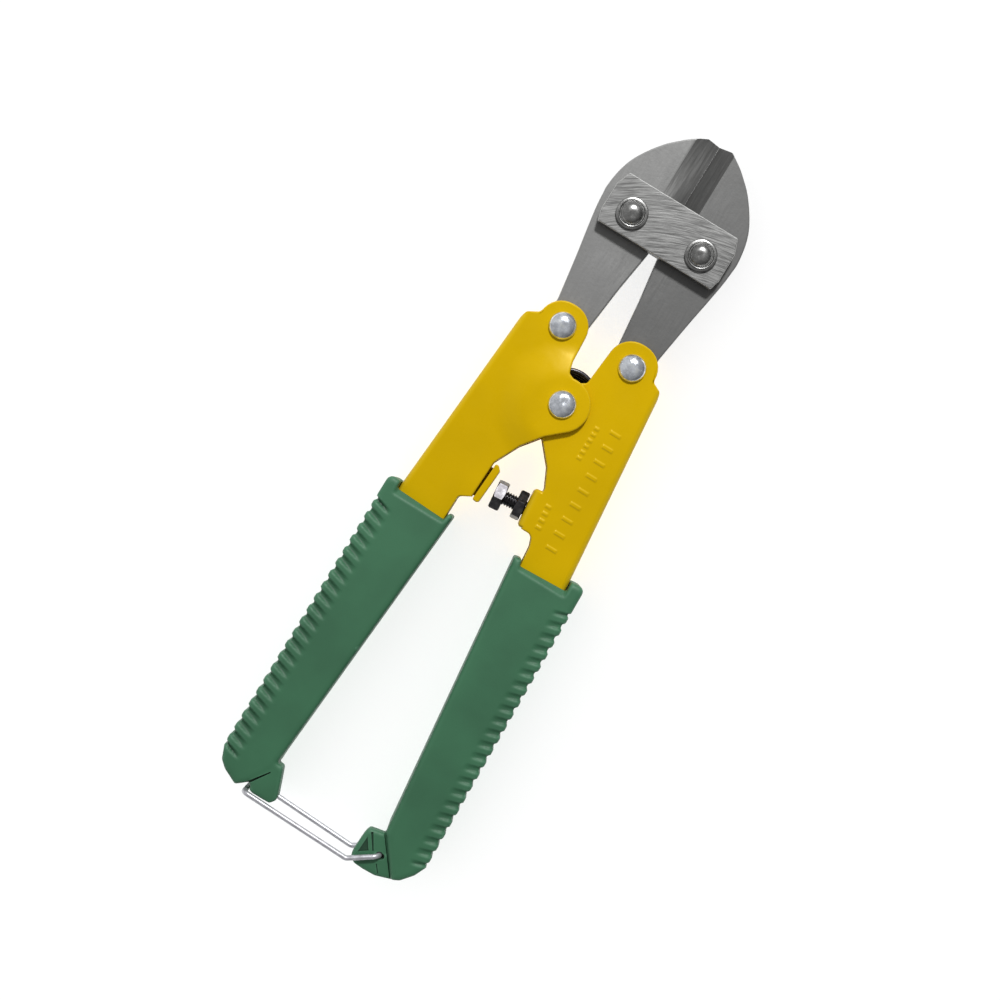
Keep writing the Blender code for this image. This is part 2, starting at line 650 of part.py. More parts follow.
def cut_pocket(grip, side, inner, web):
    """Hollow the grip for the end of the channel, and cut its two faces back at the mouth."""
    outside = [on_line(web[1:], y) + side * GAP for y in (MOUTH_TOP, CHANNEL_END - GAP)]
    inside = [on_line(inner, y) - side * GAP for y in (MOUTH_TOP, CHANNEL_END - GAP)]
    half = FLANGE_OUT + GAP
    pocket = [(outside[0], MOUTH_TOP), (outside[1], CHANNEL_END - GAP),
              (inside[1], CHANNEL_END - GAP), (inside[0], MOUTH_TOP)]
    edge = side * (GAP - 0.15)
    mouth = [(on_line(web[1:], MOUTH_TOP) + edge, MOUTH_TOP),
             (on_line(web[1:], MOUTH_LIP) + edge, MOUTH_LIP + 0.6),
             (on_line(inner, MOUTH_LIP) - edge, MOUTH_LIP),
             (on_line(inner, MOUTH_TOP) - edge, MOUTH_TOP)]
    combine(grip, "DIFFERENCE", prism(pocket, -half, half), prism(mouth, -THROUGH, THROUGH))


def layered(front, step, top, back):
    """An end fitting: a front layer over a narrower one behind."""
    return combine(prism(fillet(front, 2), step, top), "UNION",
                   prism(fillet(back, 2), LATCH_BACK, step + 1))


def make_grip(name, side, outline, outer, latch, inner, web):
    grip = prism(fillet(outline, 2), -GRIP_HALF, GRIP_HALF, 1.2, 2)
    cut_ridges(grip, side, outer)
    cut_pocket(grip, side, inner, web)
    combine(grip, "UNION", latch)
    if side > 0:
        combine(grip, "DIFFERENCE", bore(*BAIL_HOLE, BAIL_WIRE / 2 + GAP, 12))
    finish(grip, name, "green_plastic")
    set_pivot(grip, 0, 0)


def make_grips():
    left_inner = [(-10.3, -40.0), (-15.2, CHANNEL_END)]
    right_inner = [(12.1, -40.0), (19.3, CHANNEL_END)]
    hook = layered(HOOK, HOOK_STEP, HOOK_TOP, HOOK_HEEL)
    lug = layered(LUG, LUG_STEP, LUG_TOP, LUG_BOSS)
    make_grip("left_grip", -1, LEFT_GRIP, LEFT_OUTER, hook, left_inner, LEFT_WEB)
    make_grip("right_grip", 1, RIGHT_GRIP, RIGHT_OUTER, lug, right_inner, RIGHT_WEB)


def main():
    clear_scene()
    make_jaw("left_jaw", -1)
    make_jaw("right_jaw", 1)
    make_link_plates()
    make_rivets()
    make_bush()
    make_left_channel()
    make_right_channel()
    make_stop_screw()
    make_stop_nut()
    make_spring()
    make_bail()
    make_grips()


main()
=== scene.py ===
"""The looks of 200 mm bolt cutters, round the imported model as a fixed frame.

Pieces are drawn in millimetres from the handle pivot at mid-thickness: +Y runs to the cutting
tips, +X to the handle with the stop screw and +Z up. show() scales a piece to metres and puts it
on its body.
"""

import json
import math

import bmesh
import bpy
import numpy as np
from mathutils import Matrix, Vector


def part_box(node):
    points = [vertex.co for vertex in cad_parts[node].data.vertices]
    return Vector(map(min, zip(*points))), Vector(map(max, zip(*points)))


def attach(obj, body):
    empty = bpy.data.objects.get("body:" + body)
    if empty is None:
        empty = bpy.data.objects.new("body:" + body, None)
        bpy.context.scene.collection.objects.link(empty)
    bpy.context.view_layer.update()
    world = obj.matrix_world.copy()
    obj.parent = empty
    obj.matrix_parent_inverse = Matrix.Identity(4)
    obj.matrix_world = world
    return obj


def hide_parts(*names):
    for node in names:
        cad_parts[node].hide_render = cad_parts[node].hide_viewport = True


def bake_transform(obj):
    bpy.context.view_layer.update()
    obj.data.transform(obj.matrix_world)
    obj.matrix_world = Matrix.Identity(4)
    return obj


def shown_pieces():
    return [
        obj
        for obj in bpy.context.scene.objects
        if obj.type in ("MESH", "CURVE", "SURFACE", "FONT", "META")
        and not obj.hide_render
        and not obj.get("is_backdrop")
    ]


MM = 0.001
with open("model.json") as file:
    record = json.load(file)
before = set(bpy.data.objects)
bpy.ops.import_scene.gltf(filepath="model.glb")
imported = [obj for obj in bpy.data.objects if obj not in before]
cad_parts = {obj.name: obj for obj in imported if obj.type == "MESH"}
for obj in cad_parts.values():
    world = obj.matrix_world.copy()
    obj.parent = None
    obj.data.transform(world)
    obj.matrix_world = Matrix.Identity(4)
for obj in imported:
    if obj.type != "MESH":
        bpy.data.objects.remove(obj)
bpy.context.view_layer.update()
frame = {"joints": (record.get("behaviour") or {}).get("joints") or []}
JOINTS = {joint["name"]: joint for joint in frame["joints"]}
PIVOT = Vector(JOINTS["handle_pivot"]["pos_m"])
DRAWING = Matrix.Translation(PIVOT) @ Matrix.Scale(MM, 4)


def joint_point(name):
    """Where a joint's axis stands in plan."""
    place = (Vector(JOINTS[name]["pos_m"]) - PIVOT) / MM
    return place.x, place.y


def top_of(node):
    """How high a node reaches."""
    return (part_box(node)[1].z - PIVOT.z) / MM


GAP = 0.3
SHEET = 1.6  # handle sheet
JAW_PIVOT = joint_point("right_jaw_pivot")
TAIL_PIVOT = joint_point("right_tail_pivot")
BAIL_HOLE = joint_point("bail_pivot")
JAW_HALF = top_of("right_jaw")
PLATE_OUT = top_of("front_link_plate")
FLANGE_OUT = top_of("right_handle_channel")
FLANGE_IN = FLANGE_OUT - SHEET
LOBE_OUT = top_of("left_handle_channel")
LOBE_LIFT = LOBE_OUT - FLANGE_OUT
WASHER_OUT = top_of("right_jaw_washer_front")
GRIP_HALF = top_of("left_grip")
RIVET_TOP = top_of("handle_pivot_rivet")
TAIL_TOP = top_of("right_tail_rivet")
PIN_R = 2.0
JAW_PIN_R = 2.6


# --- meshes ---

def placed(name, data):
    """A new object in the scene."""
    item = bpy.data.objects.new(name, data)
    bpy.context.scene.collection.objects.link(item)
    return item


def make_object(name, bm):
    """A mesh object from a bmesh drawn in millimetres."""
    bmesh.ops.recalc_face_normals(bm, faces=bm.faces)
    mesh = bpy.data.meshes.new(name)
    bm.to_mesh(mesh)
    bm.free()
    return placed(name, mesh)


def modify(item, kind, **settings):
    """Apply one modifier."""
    modifier = item.modifiers.new(kind, kind)
    for key, value in settings.items():
        setattr(modifier, key, value)
    graph = bpy.context.evaluated_depsgraph_get()
    result = bpy.data.meshes.new_from_object(item.evaluated_get(graph))
    item.modifiers.clear()
    item.data = result
    return item


def closed(item):
    """True if the mesh is one or more closed skins."""
    bm = bmesh.new()
    bm.from_mesh(item.data)
    whole = len(bm.faces) > 0 and all(len(e.link_faces) == 2 for e in bm.edges)
    bm.free()
    return whole


THROUGH = 20  # half the depth of the cutters that go right through
NUDGE = Matrix.Translation((0.004, 0.003, 0.005))
TRIES = 6


def combine(target, operation, *tools):
    """Apply a boolean to the target for each tool, and drop the tool.

    A tool that fails because its faces fall exactly on the target's is nudged a few microns.
    """
    for tool in tools:
        before = target.data
        for _ in range(TRIES):
            modify(target, "BOOLEAN", object=tool, operation=operation, solver="EXACT")
            if closed(target):
                break
            target.data = before
            tool.data.transform(NUDGE)
        bpy.data.objects.remove(tool, do_unlink=True)
    return target


MERGE = 0.004  # points closer than this are one
FLAT = math.radians(0.4)  # faces that meet at less than this are one
ARRIS = 0.1  # width of the rounding on the screw's and nut's edges


def clean(item):
    """Merge what a boolean left close together, and join flat faces."""
    bm = bmesh.new()
    bm.from_mesh(item.data)
    bmesh.ops.remove_doubles(bm, verts=bm.verts, dist=MERGE)
    bmesh.ops.dissolve_degenerate(bm, edges=bm.edges, dist=MERGE)
    bmesh.ops.dissolve_limit(bm, angle_limit=FLAT, verts=bm.verts, edges=bm.edges)
    bm.to_mesh(item.data)
    bm.free()
    return item


def round_edges(item):
    """Round the sharp edges."""
    return modify(clean(item), "BEVEL", width=ARRIS, segments=2, limit_method="ANGLE",
                  angle_limit=math.radians(20), use_clamp_overlap=False,
                  miter_outer="MITER_ARC")


def grid(item, box, step, above=-THROUGH):
    """Cut the faces inside a plan box, above a height, into a fine grid to be shaped."""
    low, high = box
    bm = bmesh.new()
    bm.from_mesh(item.data)
    for axis in (0, 1):
        normal = Vector((1 - axis, axis, 0))
        count = round((high[axis] - low[axis]) / step)
        for k in range(count + 1):
            level = low[axis] + (high[axis] - low[axis]) * k / count
            faces = [f for f in bm.faces if crosses(f, axis, level, low, high)
                     and all(v.co.z > above for v in f.verts)]
            edges = {e for f in faces for e in f.edges}
            corners = {v for f in faces for v in f.verts}
            bmesh.ops.bisect_plane(bm, geom=[*corners, *edges, *faces], dist=0.0001,
                                   plane_co=normal * level, plane_no=normal)
    bm.to_mesh(item.data)
    bm.free()
    return item


def crosses(face, axis, level, low, high):
    """True if a level cuts the face inside a plan box."""
    here = [v.co[axis] for v in face.verts]
    other = [v.co[1 - axis] for v in face.verts]
    return (min(here) < level < max(here) and max(other) > low[1 - axis]
            and min(other) < high[1 - axis])


def shape(item, move):
    """Move the vertices: move(points, normals) returns new points, as rows of x, y, z."""
    count = len(item.data.vertices)
    points, normals = np.empty(count * 3, np.float32), np.empty(count * 3, np.float32)
    item.data.vertices.foreach_get("co", points)
    item.data.vertices.foreach_get("normal", normals)
    moved = move(points.reshape(-1, 3).astype(float), normals.reshape(-1, 3).astype(float))
    item.data.vertices.foreach_set("co", moved.astype(np.float32).ravel())
    item.data.update()
    return item


def ease(value, start, end):
    """0 before start and 1 after end, smoothly in between."""
    t = np.clip((value - start) / (end - start), 0, 1)
    return t * t * (3 - 2 * t)


def show(item, name, body, slot, material, *nodes, sharp=32):
    """Finish a piece: scale it, shade it, and put it on its body in place of its CAD nodes."""
    item.data.transform(DRAWING)
    item.name = name
    item.data.name = name
    item.data.materials.clear()
    for one in material if isinstance(material, list) else [material]:
        item.data.materials.append(one)
    item.data.shade_smooth()
    item.data.set_sharp_from_angle(angle=math.radians(sharp))
    item.modifiers.new("normals", "WEIGHTED_NORMAL").keep_sharp = True
    if body:
        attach(item, body)
    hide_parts(*nodes)
    return item


# --- outlines ---

def arc(cx, cy, radius, start, end, steps):
    """Points of an arc, from start to end degrees."""
    angles = [math.radians(start + (end - start) * i / steps) for i in range(steps + 1)]
    return [(cx + radius * math.cos(a), cy + radius * math.sin(a)) for a in angles]


def circle(cx, cy, radius, steps=48):
    return arc(cx, cy, radius, 0, 360, steps)[:-1]


def fillet(corners, steps=8):
    """An outline from corners (x, y) or (x, y, radius); a radius rounds its corner."""
    outline = []
    for i, corner in enumerate(corners):
        here = Vector(corner[:2])
        if len(corner) < 3:
            outline.append(tuple(here))
            continue
        before = Vector(corners[i - 1][:2]) - here
        after = Vector(corners[(i + 1) % len(corners)][:2]) - here
        half = before.angle(after) / 2
        reach = min(corner[2] / math.tan(half), 0.98 * before.length, 0.98 * after.length)
        radius = reach * math.tan(half)
        centre = here + (before.normalized() + after.normalized()).normalized() * (
            radius / math.sin(half))
        first = here + before.normalized() * reach - centre
        last = here + after.normalized() * reach - centre
        sweep = first.angle_signed(last)
        for k in range(steps + 1):
            outline.append(tuple(centre + Matrix.Rotation(-sweep * k / steps, 2) @ first))
    return outline


def curve_through(points, steps):
    """A Catmull-Rom curve through the points, in two or three dimensions."""
    points = [Vector(p) for p in points]
    ends = [points[0] * 2 - points[1], *points, points[-1] * 2 - points[-2]]
    route = []
    for a, b, c, d in zip(ends, ends[1:], ends[2:], ends[3:]):
        for k in range(steps):
            t = k / steps
            route.append(0.5 * (2 * b + (c - a) * t + (2 * a - 5 * b + 4 * c - d) * t * t
                                + (3 * b - a - 3 * c + d) * t ** 3))
    return route + [points[-1]]


def mirrored(points):
    """The same outline on the other side of the tool."""
    return [(-p[0], *p[1:]) for p in reversed(points)]


def inset(outline, distance):
    """An outline moved inwards, with mitred corners."""
    points = [Vector(p) for p in outline]
    pairs = list(zip(points, points[1:] + points[:1]))
    turn = 1 if sum(a.x * b.y - b.x * a.y for a, b in pairs) > 0 else -1
    sides = [Vector((a.y - b.y, b.x - a.x)).normalized() * turn for a, b in pairs]
    moved = []
    for i, point in enumerate(points):
        middle = (sides[i - 1] + sides[i]).normalized()
        moved.append(point + middle * distance / max(0.45, middle.dot(sides[i])))
    return moved


def spaced(outline, least=0.05):
    """The outline without points that lie almost on each other."""
    kept = []
    for point in outline:
        if not kept or math.dist(point, kept[-1]) > least:
            kept.append(point)
    return kept if math.dist(kept[0], kept[-1]) > least else kept[:-1]


def slab(outline, low, high, rim=0.0, steps=3):
    """A flat solid with rounded rims."""
    outline = spaced(outline)
    rings = []
    for k in range(steps + 1 if rim else 1):
        a = math.radians(90 * k / steps)
        rings.append((rim * (1 - math.sin(a)), rim * (1 - math.cos(a))))
    levels = [(inward, low + up) for inward, up in rings]
    levels += [(inward, high - up) for inward, up in reversed(rings)]
    return loft([[(p[0], p[1], z) for p in inset(outline, inward)] for inward, z in levels])


def loft(rings):
    """A solid skinned over closed rings of the same number of points."""
    bm = bmesh.new()
    rings = [[bm.verts.new(p) for p in ring] for ring in rings]
    for one, two in zip(rings, rings[1:]):
        for k in range(len(one)):
            j = (k + 1) % len(one)
            bm.faces.new((one[k], one[j], two[j], two[k]))
    bm.faces.new(list(reversed(rings[0])))
    bm.faces.new(rings[-1])
    return make_object("loft", bm)


def bore(cx, cy, radius):
    return slab(circle(cx, cy, radius), -THROUGH, THROUGH)


def jaw_bore(side):
    return bore(side * JAW_PIVOT[0], JAW_PIVOT[1], JAW_PIN_R + GAP)


def tail_bore(side):
    return bore(side * TAIL_PIVOT[0], TAIL_PIVOT[1], PIN_R + GAP)


def turned(profile, steps, place=Matrix.Identity(4)):
    """A solid of revolution about local Z from (radius, z) points, placed by a matrix."""
    bm = bmesh.new()
    ring = [bm.verts.new((r, 0, z)) for r, z in profile]
    edges = [bm.edges.new((ring[i], ring[i + 1])) for i in range(len(ring) - 1)]
    if profile[0][0] > 0.001:
        edges.append(bm.edges.new((ring[-1], ring[0])))
    bmesh.ops.spin(bm, geom=ring + edges, axis=(0, 0, 1), cent=(0, 0, 0),
                   angle=math.tau, steps=steps, use_duplicate=False)
    bmesh.ops.remove_doubles(bm, verts=bm.verts, dist=0.001)
    bmesh.ops.transform(bm, matrix=place, verts=bm.verts)
    return make_object("turned", bm)


def tube(route, radius, sides):
    """A wire along a route."""
    across = (route[1] - route[0]).orthogonal()
    rings = []
    for i, place in enumerate(route):
        along = (route[min(i + 1, len(route) - 1)] - route[max(i - 1, 0)]).normalized()
        across = (across - along * across.dot(along)).normalized()
        up = along.cross(across)
        ring = []
        for k in range(sides):
            a = math.tau * k / sides
            ring.append(place + (across * math.cos(a) + up * math.sin(a)) * radius)
        rings.append(ring)
    return loft(rings)


# --- materials ---

class Finish:
    """One procedural material. Its coordinates are millimetres in the resting tool."""

    def __init__(self, name, colour, metallic, **uniform):
        self.material = bpy.data.materials.new(name)
        self.material.use_nodes = True
        self.tree = self.material.node_tree
        self.inputs = self.tree.nodes["Principled BSDF"].inputs
        self.colour = colour
        self.inputs["Base Color"].default_value = (*colour, 1)
        self.inputs["Metallic"].default_value = metallic
        for key, value in uniform.items():
            self.inputs[key.replace("_", " ")].default_value = value

    def add(self, kind, inputs, **settings):
        """The outputs of a new node, with its inputs linked or set."""
        node = self.tree.nodes.new("ShaderNode" + kind)
        for key, value in settings.items():
            setattr(node, key, value)
        for key, value in inputs.items():
            if isinstance(value, bpy.types.NodeSocket):
                self.tree.links.new(value, node.inputs[key])
            else:
                node.inputs[key].default_value = value
        return node.outputs

    def noise(self, scale, detail, rough, stretch=(1, 1, 1)):
        """Noise in millimetre coordinates, stretched along the axes."""
        where = {"Vector": self.add("TexCoord", {})["Object"],
                 "Scale": [s / MM for s in stretch]}
        return self.noise_at(self.add("Mapping", where)[0], scale, detail, rough)

    def noise_at(self, where, scale, detail, rough):
        inputs = {"Vector": where, "Scale": scale, "Detail": detail, "Roughness": rough}
        return self.add("TexNoise", inputs)["Fac"]

    def remap(self, value, low, high, to_low=0.0, to_high=1.0):
        inputs = {"Value": value, 1: low, 2: high, 3: to_low, 4: to_high}
        return self.add("MapRange", inputs)[0]

    def math(self, operation, a, b=0.0):
        return self.add("Math", {0: a, 1: b}, operation=operation)[0]

    def scaled(self, value, by):
        return self.math("MULTIPLY", value, by)

    def mix(self, factor, a, b):
        """A mix of two colours, each a socket or its red, green and blue."""
        a, b = ((*c, 1) if isinstance(c, tuple) else c for c in (a, b))
        return self.add("Mix", {0: factor, 6: a, 7: b}, data_type="RGBA")[2]

    def times(self, amount):
        """The finish's own colour, darker or lighter."""
        return tuple(c * amount for c in self.colour)

    def tone(self, value, dark, light, low=0.35, high=0.65):
        """The finish's colour, from dark to light as the value goes from low to high."""
        return self.mix(self.remap(value, low, high), self.times(dark), self.times(light))

    def pointed(self, flat, full):
        """1 on outer edges, or in creases if full is less than flat, and 0 elsewhere."""
        return self.remap(self.add("NewGeometry", {})["Pointiness"], flat, full)

    def rims(self):
        """1 on the rounded rims of a flat piece, and 0 on its faces and walls."""
        normal = self.add("TexCoord", {})["Normal"]
        tilt = self.math("ABSOLUTE", self.add("SeparateXYZ", {0: normal})[2])
        return self.scaled(self.remap(tilt, 0.985, 0.85), self.remap(tilt, 0.05, 0.3))

    def finish(self, shade, roughness, *bumps):
        """Drive the shader: a colour, a roughness, and bumps as (height, depth in mm)."""
        inputs = {"Base Color": shade, "Roughness": roughness}
        for height, depth in bumps:
            bump = {"Height": height, "Distance": depth * MM, "Strength": 1.0}
            if "Normal" in inputs:
                bump["Normal"] = inputs["Normal"]
            inputs["Normal"] = self.add("Bump", bump)[0]
        for name, value in inputs.items():
            self.tree.links.new(value, self.inputs[name])
        return self.material


def jaw_finish(name, colour):
    """Forged jaw faces, surface-ground along one direction."""
    made = Finish(name, colour, 0.55)
    fine = made.noise(1.1, 5, 0.7)
    streaks = made.noise(0.5, 4, 0.6, stretch=(3.2, 0.35, 1))
    broad = made.noise(0.09, 2, 0.5)
    both = made.math("ADD", made.scaled(fine, 0.5), made.scaled(streaks, 0.5))
    shade = made.tone(both, 0.84, 1.14, 0.36, 0.64)
    shade = made.mix(made.remap(broad, 0.35, 0.65), shade, made.times(0.92))
    shade = made.mix(made.scaled(made.rims(), 0.7), shade, made.times(1.9))
    return made.finish(shade, made.remap(fine, 0.3, 0.7, 0.44, 0.58), (fine, 0.03),
                       (streaks, 0.015))


def ground_edge_finish(name, colour):
    """The cutting bevels: freshly ground, streaked along the edge."""
    made = Finish(name, colour, 0.9)
    streaks = made.noise(0.7, 4, 0.65, stretch=(2.6, 0.16, 2.6))
    fine = made.noise(1.6, 4, 0.65)
    shade = made.tone(streaks, 0.82, 1.12)
    shade = made.mix(made.remap(fine, 0.3, 0.7, 0, 0.4), shade, made.times(0.75))
    return made.finish(shade, made.remap(streaks, 0.3, 0.7, 0.32, 0.48), (streaks, 0.03))


SCRATCH_CENTRE = (24.0, -4.0)  # the plates' grinding arcs turn about this point
SCRATCH_TURN = 2.4  # how fast the scratches change along an arc, per radian


def plate_finish():
    """Link plates: coarse grinding arcs across the face."""
    made = Finish("ground_plate_steel", (0.21, 0.21, 0.207), 0.85)
    centre = PIVOT + Vector((*SCRATCH_CENTRE, 0)) * MM
    where = made.add("TexCoord", {})["Object"]
    offset = made.add("VectorMath", {0: where, 1: centre}, operation="SUBTRACT")[0]
    x, y, z = made.add("SeparateXYZ", {0: offset})
    flat = made.add("CombineXYZ", {0: x, 1: y})[0]
    reach = made.add("VectorMath", {0: flat}, operation="LENGTH")["Value"]
    angle = made.math("ARCTAN2", y, x)
    polar = made.add("CombineXYZ", {0: made.scaled(reach, 1.0 / MM),
                                    1: made.scaled(angle, SCRATCH_TURN),
                                    2: made.scaled(z, 1.0 / MM)})[0]
    coarse, fine = made.noise_at(polar, 2.6, 4, 0.72), made.noise_at(polar, 6.0, 3, 0.6)
    lines = made.math("ADD", made.scaled(coarse, 0.6), made.scaled(fine, 0.4))
    shade = made.tone(lines, 0.5, 1.32, 0.42, 0.58)
    shade = made.mix(made.scaled(made.rims(), 0.5), shade, (0.85, 0.85, 0.83))
    return made.finish(shade, made.remap(lines, 0.35, 0.65, 0.52, 0.4), (lines, 0.04))


def zinc_finish(name, colour, roughness, shine):
    """Rivet heads, plain or zinc plated, with a faint mottle."""
    made = Finish(name, colour, shine)
    mottle = made.noise(0.55, 3, 0.6)
    grain = made.noise(2.4, 3, 0.6)
    rough = made.remap(grain, 0.3, 0.7, roughness - 0.06, roughness + 0.12)
    return made.finish(made.tone(mottle, 0.7, 1.14), rough, (mottle, 0.022), (grain, 0.004))


def enamel_finish():
    """Yellow stove enamel: a little orange peel, worn thin on its edges."""
    made = Finish("yellow_enamel", (0.635, 0.405, 0.0006), 0.0,
                  Specular_Tint=(1.0, 0.82, 0.3, 1), Specular_IOR_Level=0.2)
    peel = made.noise(0.32, 3, 0.5)
    broad = made.noise(0.045, 2, 0.5)
    worn = made.scaled(made.rims(), 0.3)
    shade = made.mix(worn, made.tone(broad, 0.95, 1.05), (0.74, 0.53, 0.03))
    return made.finish(shade, made.remap(peel, 0.3, 0.7, 0.25, 0.36), (peel, 0.05))


def plastic_finish():
    """Green moulded plastic: satin, finely textured, paler where hands rub it, with painted shade
    in its creases.
    """
    made = Finish("green_moulding", (0.041, 0.15, 0.075), 0.0, Specular_IOR_Level=0.4)
    cloud = made.noise(0.06, 3, 0.5)
    grain = made.noise(2.2, 3, 0.6)
    worn = made.scaled(made.pointed(0.51, 0.56), 0.5)
    shade = made.mix(worn, made.tone(cloud, 0.9, 1.1), (0.12, 0.29, 0.18))
    # Painted shade: the creases between the grip's ridges are darkened to as little as 0.4 of the
    # colour.
    shade = made.mix(made.pointed(0.49, 0.44), shade, made.times(0.4))
    return made.finish(shade, made.remap(grain, 0.3, 0.7, 0.46, 0.6), (grain, 0.02))


def black_finish(name, roughness):
    """Black oxide with steel showing through on its edges."""
    made = Finish(name, (0.035, 0.033, 0.036), 0.8)
    patch = made.noise(0.9, 4, 0.6)
    worn = made.scaled(made.pointed(0.53, 0.62), 0.6)
    shade = made.mix(worn, made.tone(patch, 1.0, 2.2, 0.35, 0.7), (0.2, 0.2, 0.2))
    rough = made.remap(patch, 0.3, 0.7, roughness - 0.06, roughness + 0.12)
    return made.finish(shade, rough, (patch, 0.02))


def wire_finish():
    made = Finish("galvanised_wire", (0.62, 0.62, 0.66), 0.6)
    mottle = made.noise(0.8, 4, 0.6)
    return made.finish(made.tone(mottle, 0.85, 1.1), made.remap(mottle, 0.3, 0.7, 0.3, 0.45),
                       (mottle, 0.01))


# --- cutting head ---

JAW_TIP, JAW_HEEL = 76.85, 53.4  # the ends of the cutting edges
JAW_RIM, PLATE_RIM = 0.4, 0.28  # rounded rims
JAW_TAIL_R = 5.0
JAW_BACK = [  # the right jaw's outer side, from the tip to its tail
    (3.4, JAW_TIP), (7.0, 74.5), (9.5, 72.4), (12.1, 69.9), (15.0, 66.1), (17.3, 62.1),
    (18.6, 58.0), (19.2, 53.6), (19.1, 51.0), (18.7, 46.8), (17.7, 40.5), (16.6, 34.0),
    (14.9, 22.6),
]
JAW_BEVEL = {"left": 6.1, "right": 4.4}  # width of the ground bevels at the cutting edge
EDGE_HALF = 0.25
JAW_SEAM = 0.008  # half of what is left between the closed cutting edges
BEVEL_START = 55.5
# Painted light: the left jaw's face and bevel colours are lighter than the right jaw's, to stand in
# for the brighter light the left jaw reflects; both jaws are the same steel.
JAW_COLOURS = {  # faces and bevels
    "left": ((0.207, 0.207, 0.204), (0.31, 0.31, 0.305)),
    "right": ((0.136, 0.136, 0.134), (0.155, 0.155, 0.152)),
}


def grinding_wheel(side, face, width):
    """A cutter for one of the jaw's ground bevels."""
    section = [(width, JAW_HALF + 0.01), (0.0, EDGE_HALF), (-1.0, EDGE_HALF),
               (-1.0, JAW_HALF + 2), (width, JAW_HALF + 2)]
    return loft([[(side * x, y, face * z) for x, z in section] for y in (BEVEL_START, 90.0)])


def make_jaw(side, hand):
    back = [tuple(p) for p in curve_through(JAW_BACK, 4)]
    outline = [(JAW_SEAM, JAW_HEEL), (JAW_SEAM, JAW_TIP), *back,
               *arc(*TAIL_PIVOT, JAW_TAIL_R, 10, -190, 30), (4.3, 20.6), (2.95, 33.2)]
    jaw = slab(outline if side > 0 else mirrored(outline), -JAW_HALF, JAW_HALF, JAW_RIM)
    width = JAW_BEVEL[hand]
    slope = math.atan2(JAW_HALF - EDGE_HALF, width)
    combine(jaw, "DIFFERENCE", grinding_wheel(side, 1, width), grinding_wheel(side, -1, width),
            jaw_bore(side), tail_bore(side))
    colour, edge_colour = JAW_COLOURS[hand]
    finishes = [jaw_finish(hand + "_jaw_steel", colour),
                ground_edge_finish(hand + "_ground_edge", edge_colour)]
    show(jaw, hand + "_jaw_forging", hand + "_jaw", "jaw_steel", finishes, hand + "_jaw", sharp=28)
    for face in jaw.data.polygons:
        tilt = math.acos(min(1.0, abs(face.normal.z)))
        if abs(tilt - slope) < 0.06 and abs(face.normal.x) > 0.3:
            face.material_index = 1  # a ground bevel


PLATE_OUTLINE = [
    (15.8, 58.35, 0.6), (17.25, 54.4, 1.5), (17.3, 46.9, 1.5), (16.5, 43.9, 0.6),
    (-16.5, 43.9, 0.6), (-17.3, 46.9, 1.5), (-17.25, 54.4, 1.5), (-15.8, 58.35, 0.6),
]
BACK_OUTLINE = [*PLATE_OUTLINE[:2], (17.3, 48.0, 1.2), (16.9, 46.0, 0.6), (-16.9, 46.0, 0.6),
                (-17.3, 48.0, 1.2), *PLATE_OUTLINE[-2:]]
WASHER_R = {1: 4.1, -1: 3.7}  # front and back


def make_link_plates():
    finish = plate_finish()
    for name, face, outline in (("front_link_plate", 1, PLATE_OUTLINE),
                                ("back_link_plate", -1, BACK_OUTLINE)):
        low, high = sorted((face * FLANGE_IN, face * PLATE_OUT))
        plate = slab(fillet(outline, 5), low, high, PLATE_RIM)
        combine(plate, "DIFFERENCE", jaw_bore(1), jaw_bore(-1))
        show(plate, name + "_ground", "jaw_link", "ground_plate", finish, name)


# --- rivets ---

HEAD_R = 3.55  # zinc plated heads
HEAD_EDGE = 0.2  # height of the heads' straight edge
BUTTON_R, BUTTON_SINK = 2.85, 0.12
BUTTON_RIM = [(2.98, 0.1), (3.1, 0.16), (3.2, 0.3), (3.36, 0.38), (3.5, 0.34), (3.56, 0.2)]
DENT_OFF, DENT_R, DENT_DEPTH = 0.8, 0.9, 0.2


def dome(radius, low, high, edge, flat):
    """(radius, z) points of a flat-topped dome over an edge, from its middle to its rim."""
    points = [(0.0, high)]
    for k in range(15):
        a = math.radians(90 * k / 14)
        r = radius * (flat + (1 - flat) * math.sin(a))
        points.append((r, low + edge + (high - low - edge) * math.cos(a)))
    return points


def button(grip, top):
    """The jaw rivets' heads: a button inside a raised rim."""
    points = dome(BUTTON_R, grip, top - BUTTON_SINK, 0.0, 0.1)
    return [(r, z + BUTTON_SINK) for r, z in points] + [(r, grip + z) for r, z in BUTTON_RIM]


def make_rivet(name, body, slot, finish, place, shank, front):
    """A rivet with the same head at both ends, from the (radius, z) points of its front."""
    head, grip = front[-1][0] - 0.12, front[-1][1] - HEAD_EDGE
    foot = [(head, grip), (shank, grip), (shank, -grip), (head, -grip)]
    profile = front + foot + [(r, -z) for r, z in reversed(front)]
    rivet = turned(profile, 64, Matrix.Translation((*place, 0)))
    dent = Vector((math.sin(place[0]), math.cos(place[0]), 0)) * DENT_OFF

    def hammer(points, normals):
        """A shallow, off-centre dent in each head, from the riveting tool."""
        away = np.hypot(points[:, 0] - place[0] - dent.x, points[:, 1] - place[1] - dent.y)
        drop = (np.abs(points[:, 2]) > grip + 0.4) * DENT_DEPTH * np.exp(-(away / DENT_R) ** 2)
        points[:, 2] -= np.sign(points[:, 2]) * drop
        return points

    shape(rivet, hammer)
    return show(rivet, name + "_head", body, slot, finish, name, sharp=50)


def make_washer(name, place, face, finish):
    inner, outer = JAW_PIN_R + GAP, WASHER_R[face]
    low, high, soft = PLATE_OUT + 0.03, WASHER_OUT, 0.16
    profile = [(inner, high), (outer - 0.5, high), (outer - soft, high - 0.05),
               (outer, high - soft), (outer, low), (inner, low)]
    washer = turned([(r, face * z) for r, z in profile], 64, Matrix.Translation((*place, 0)))
    show(washer, name + "_ring", "jaw_link", "jaw_rivet_steel", finish, name, sharp=50)


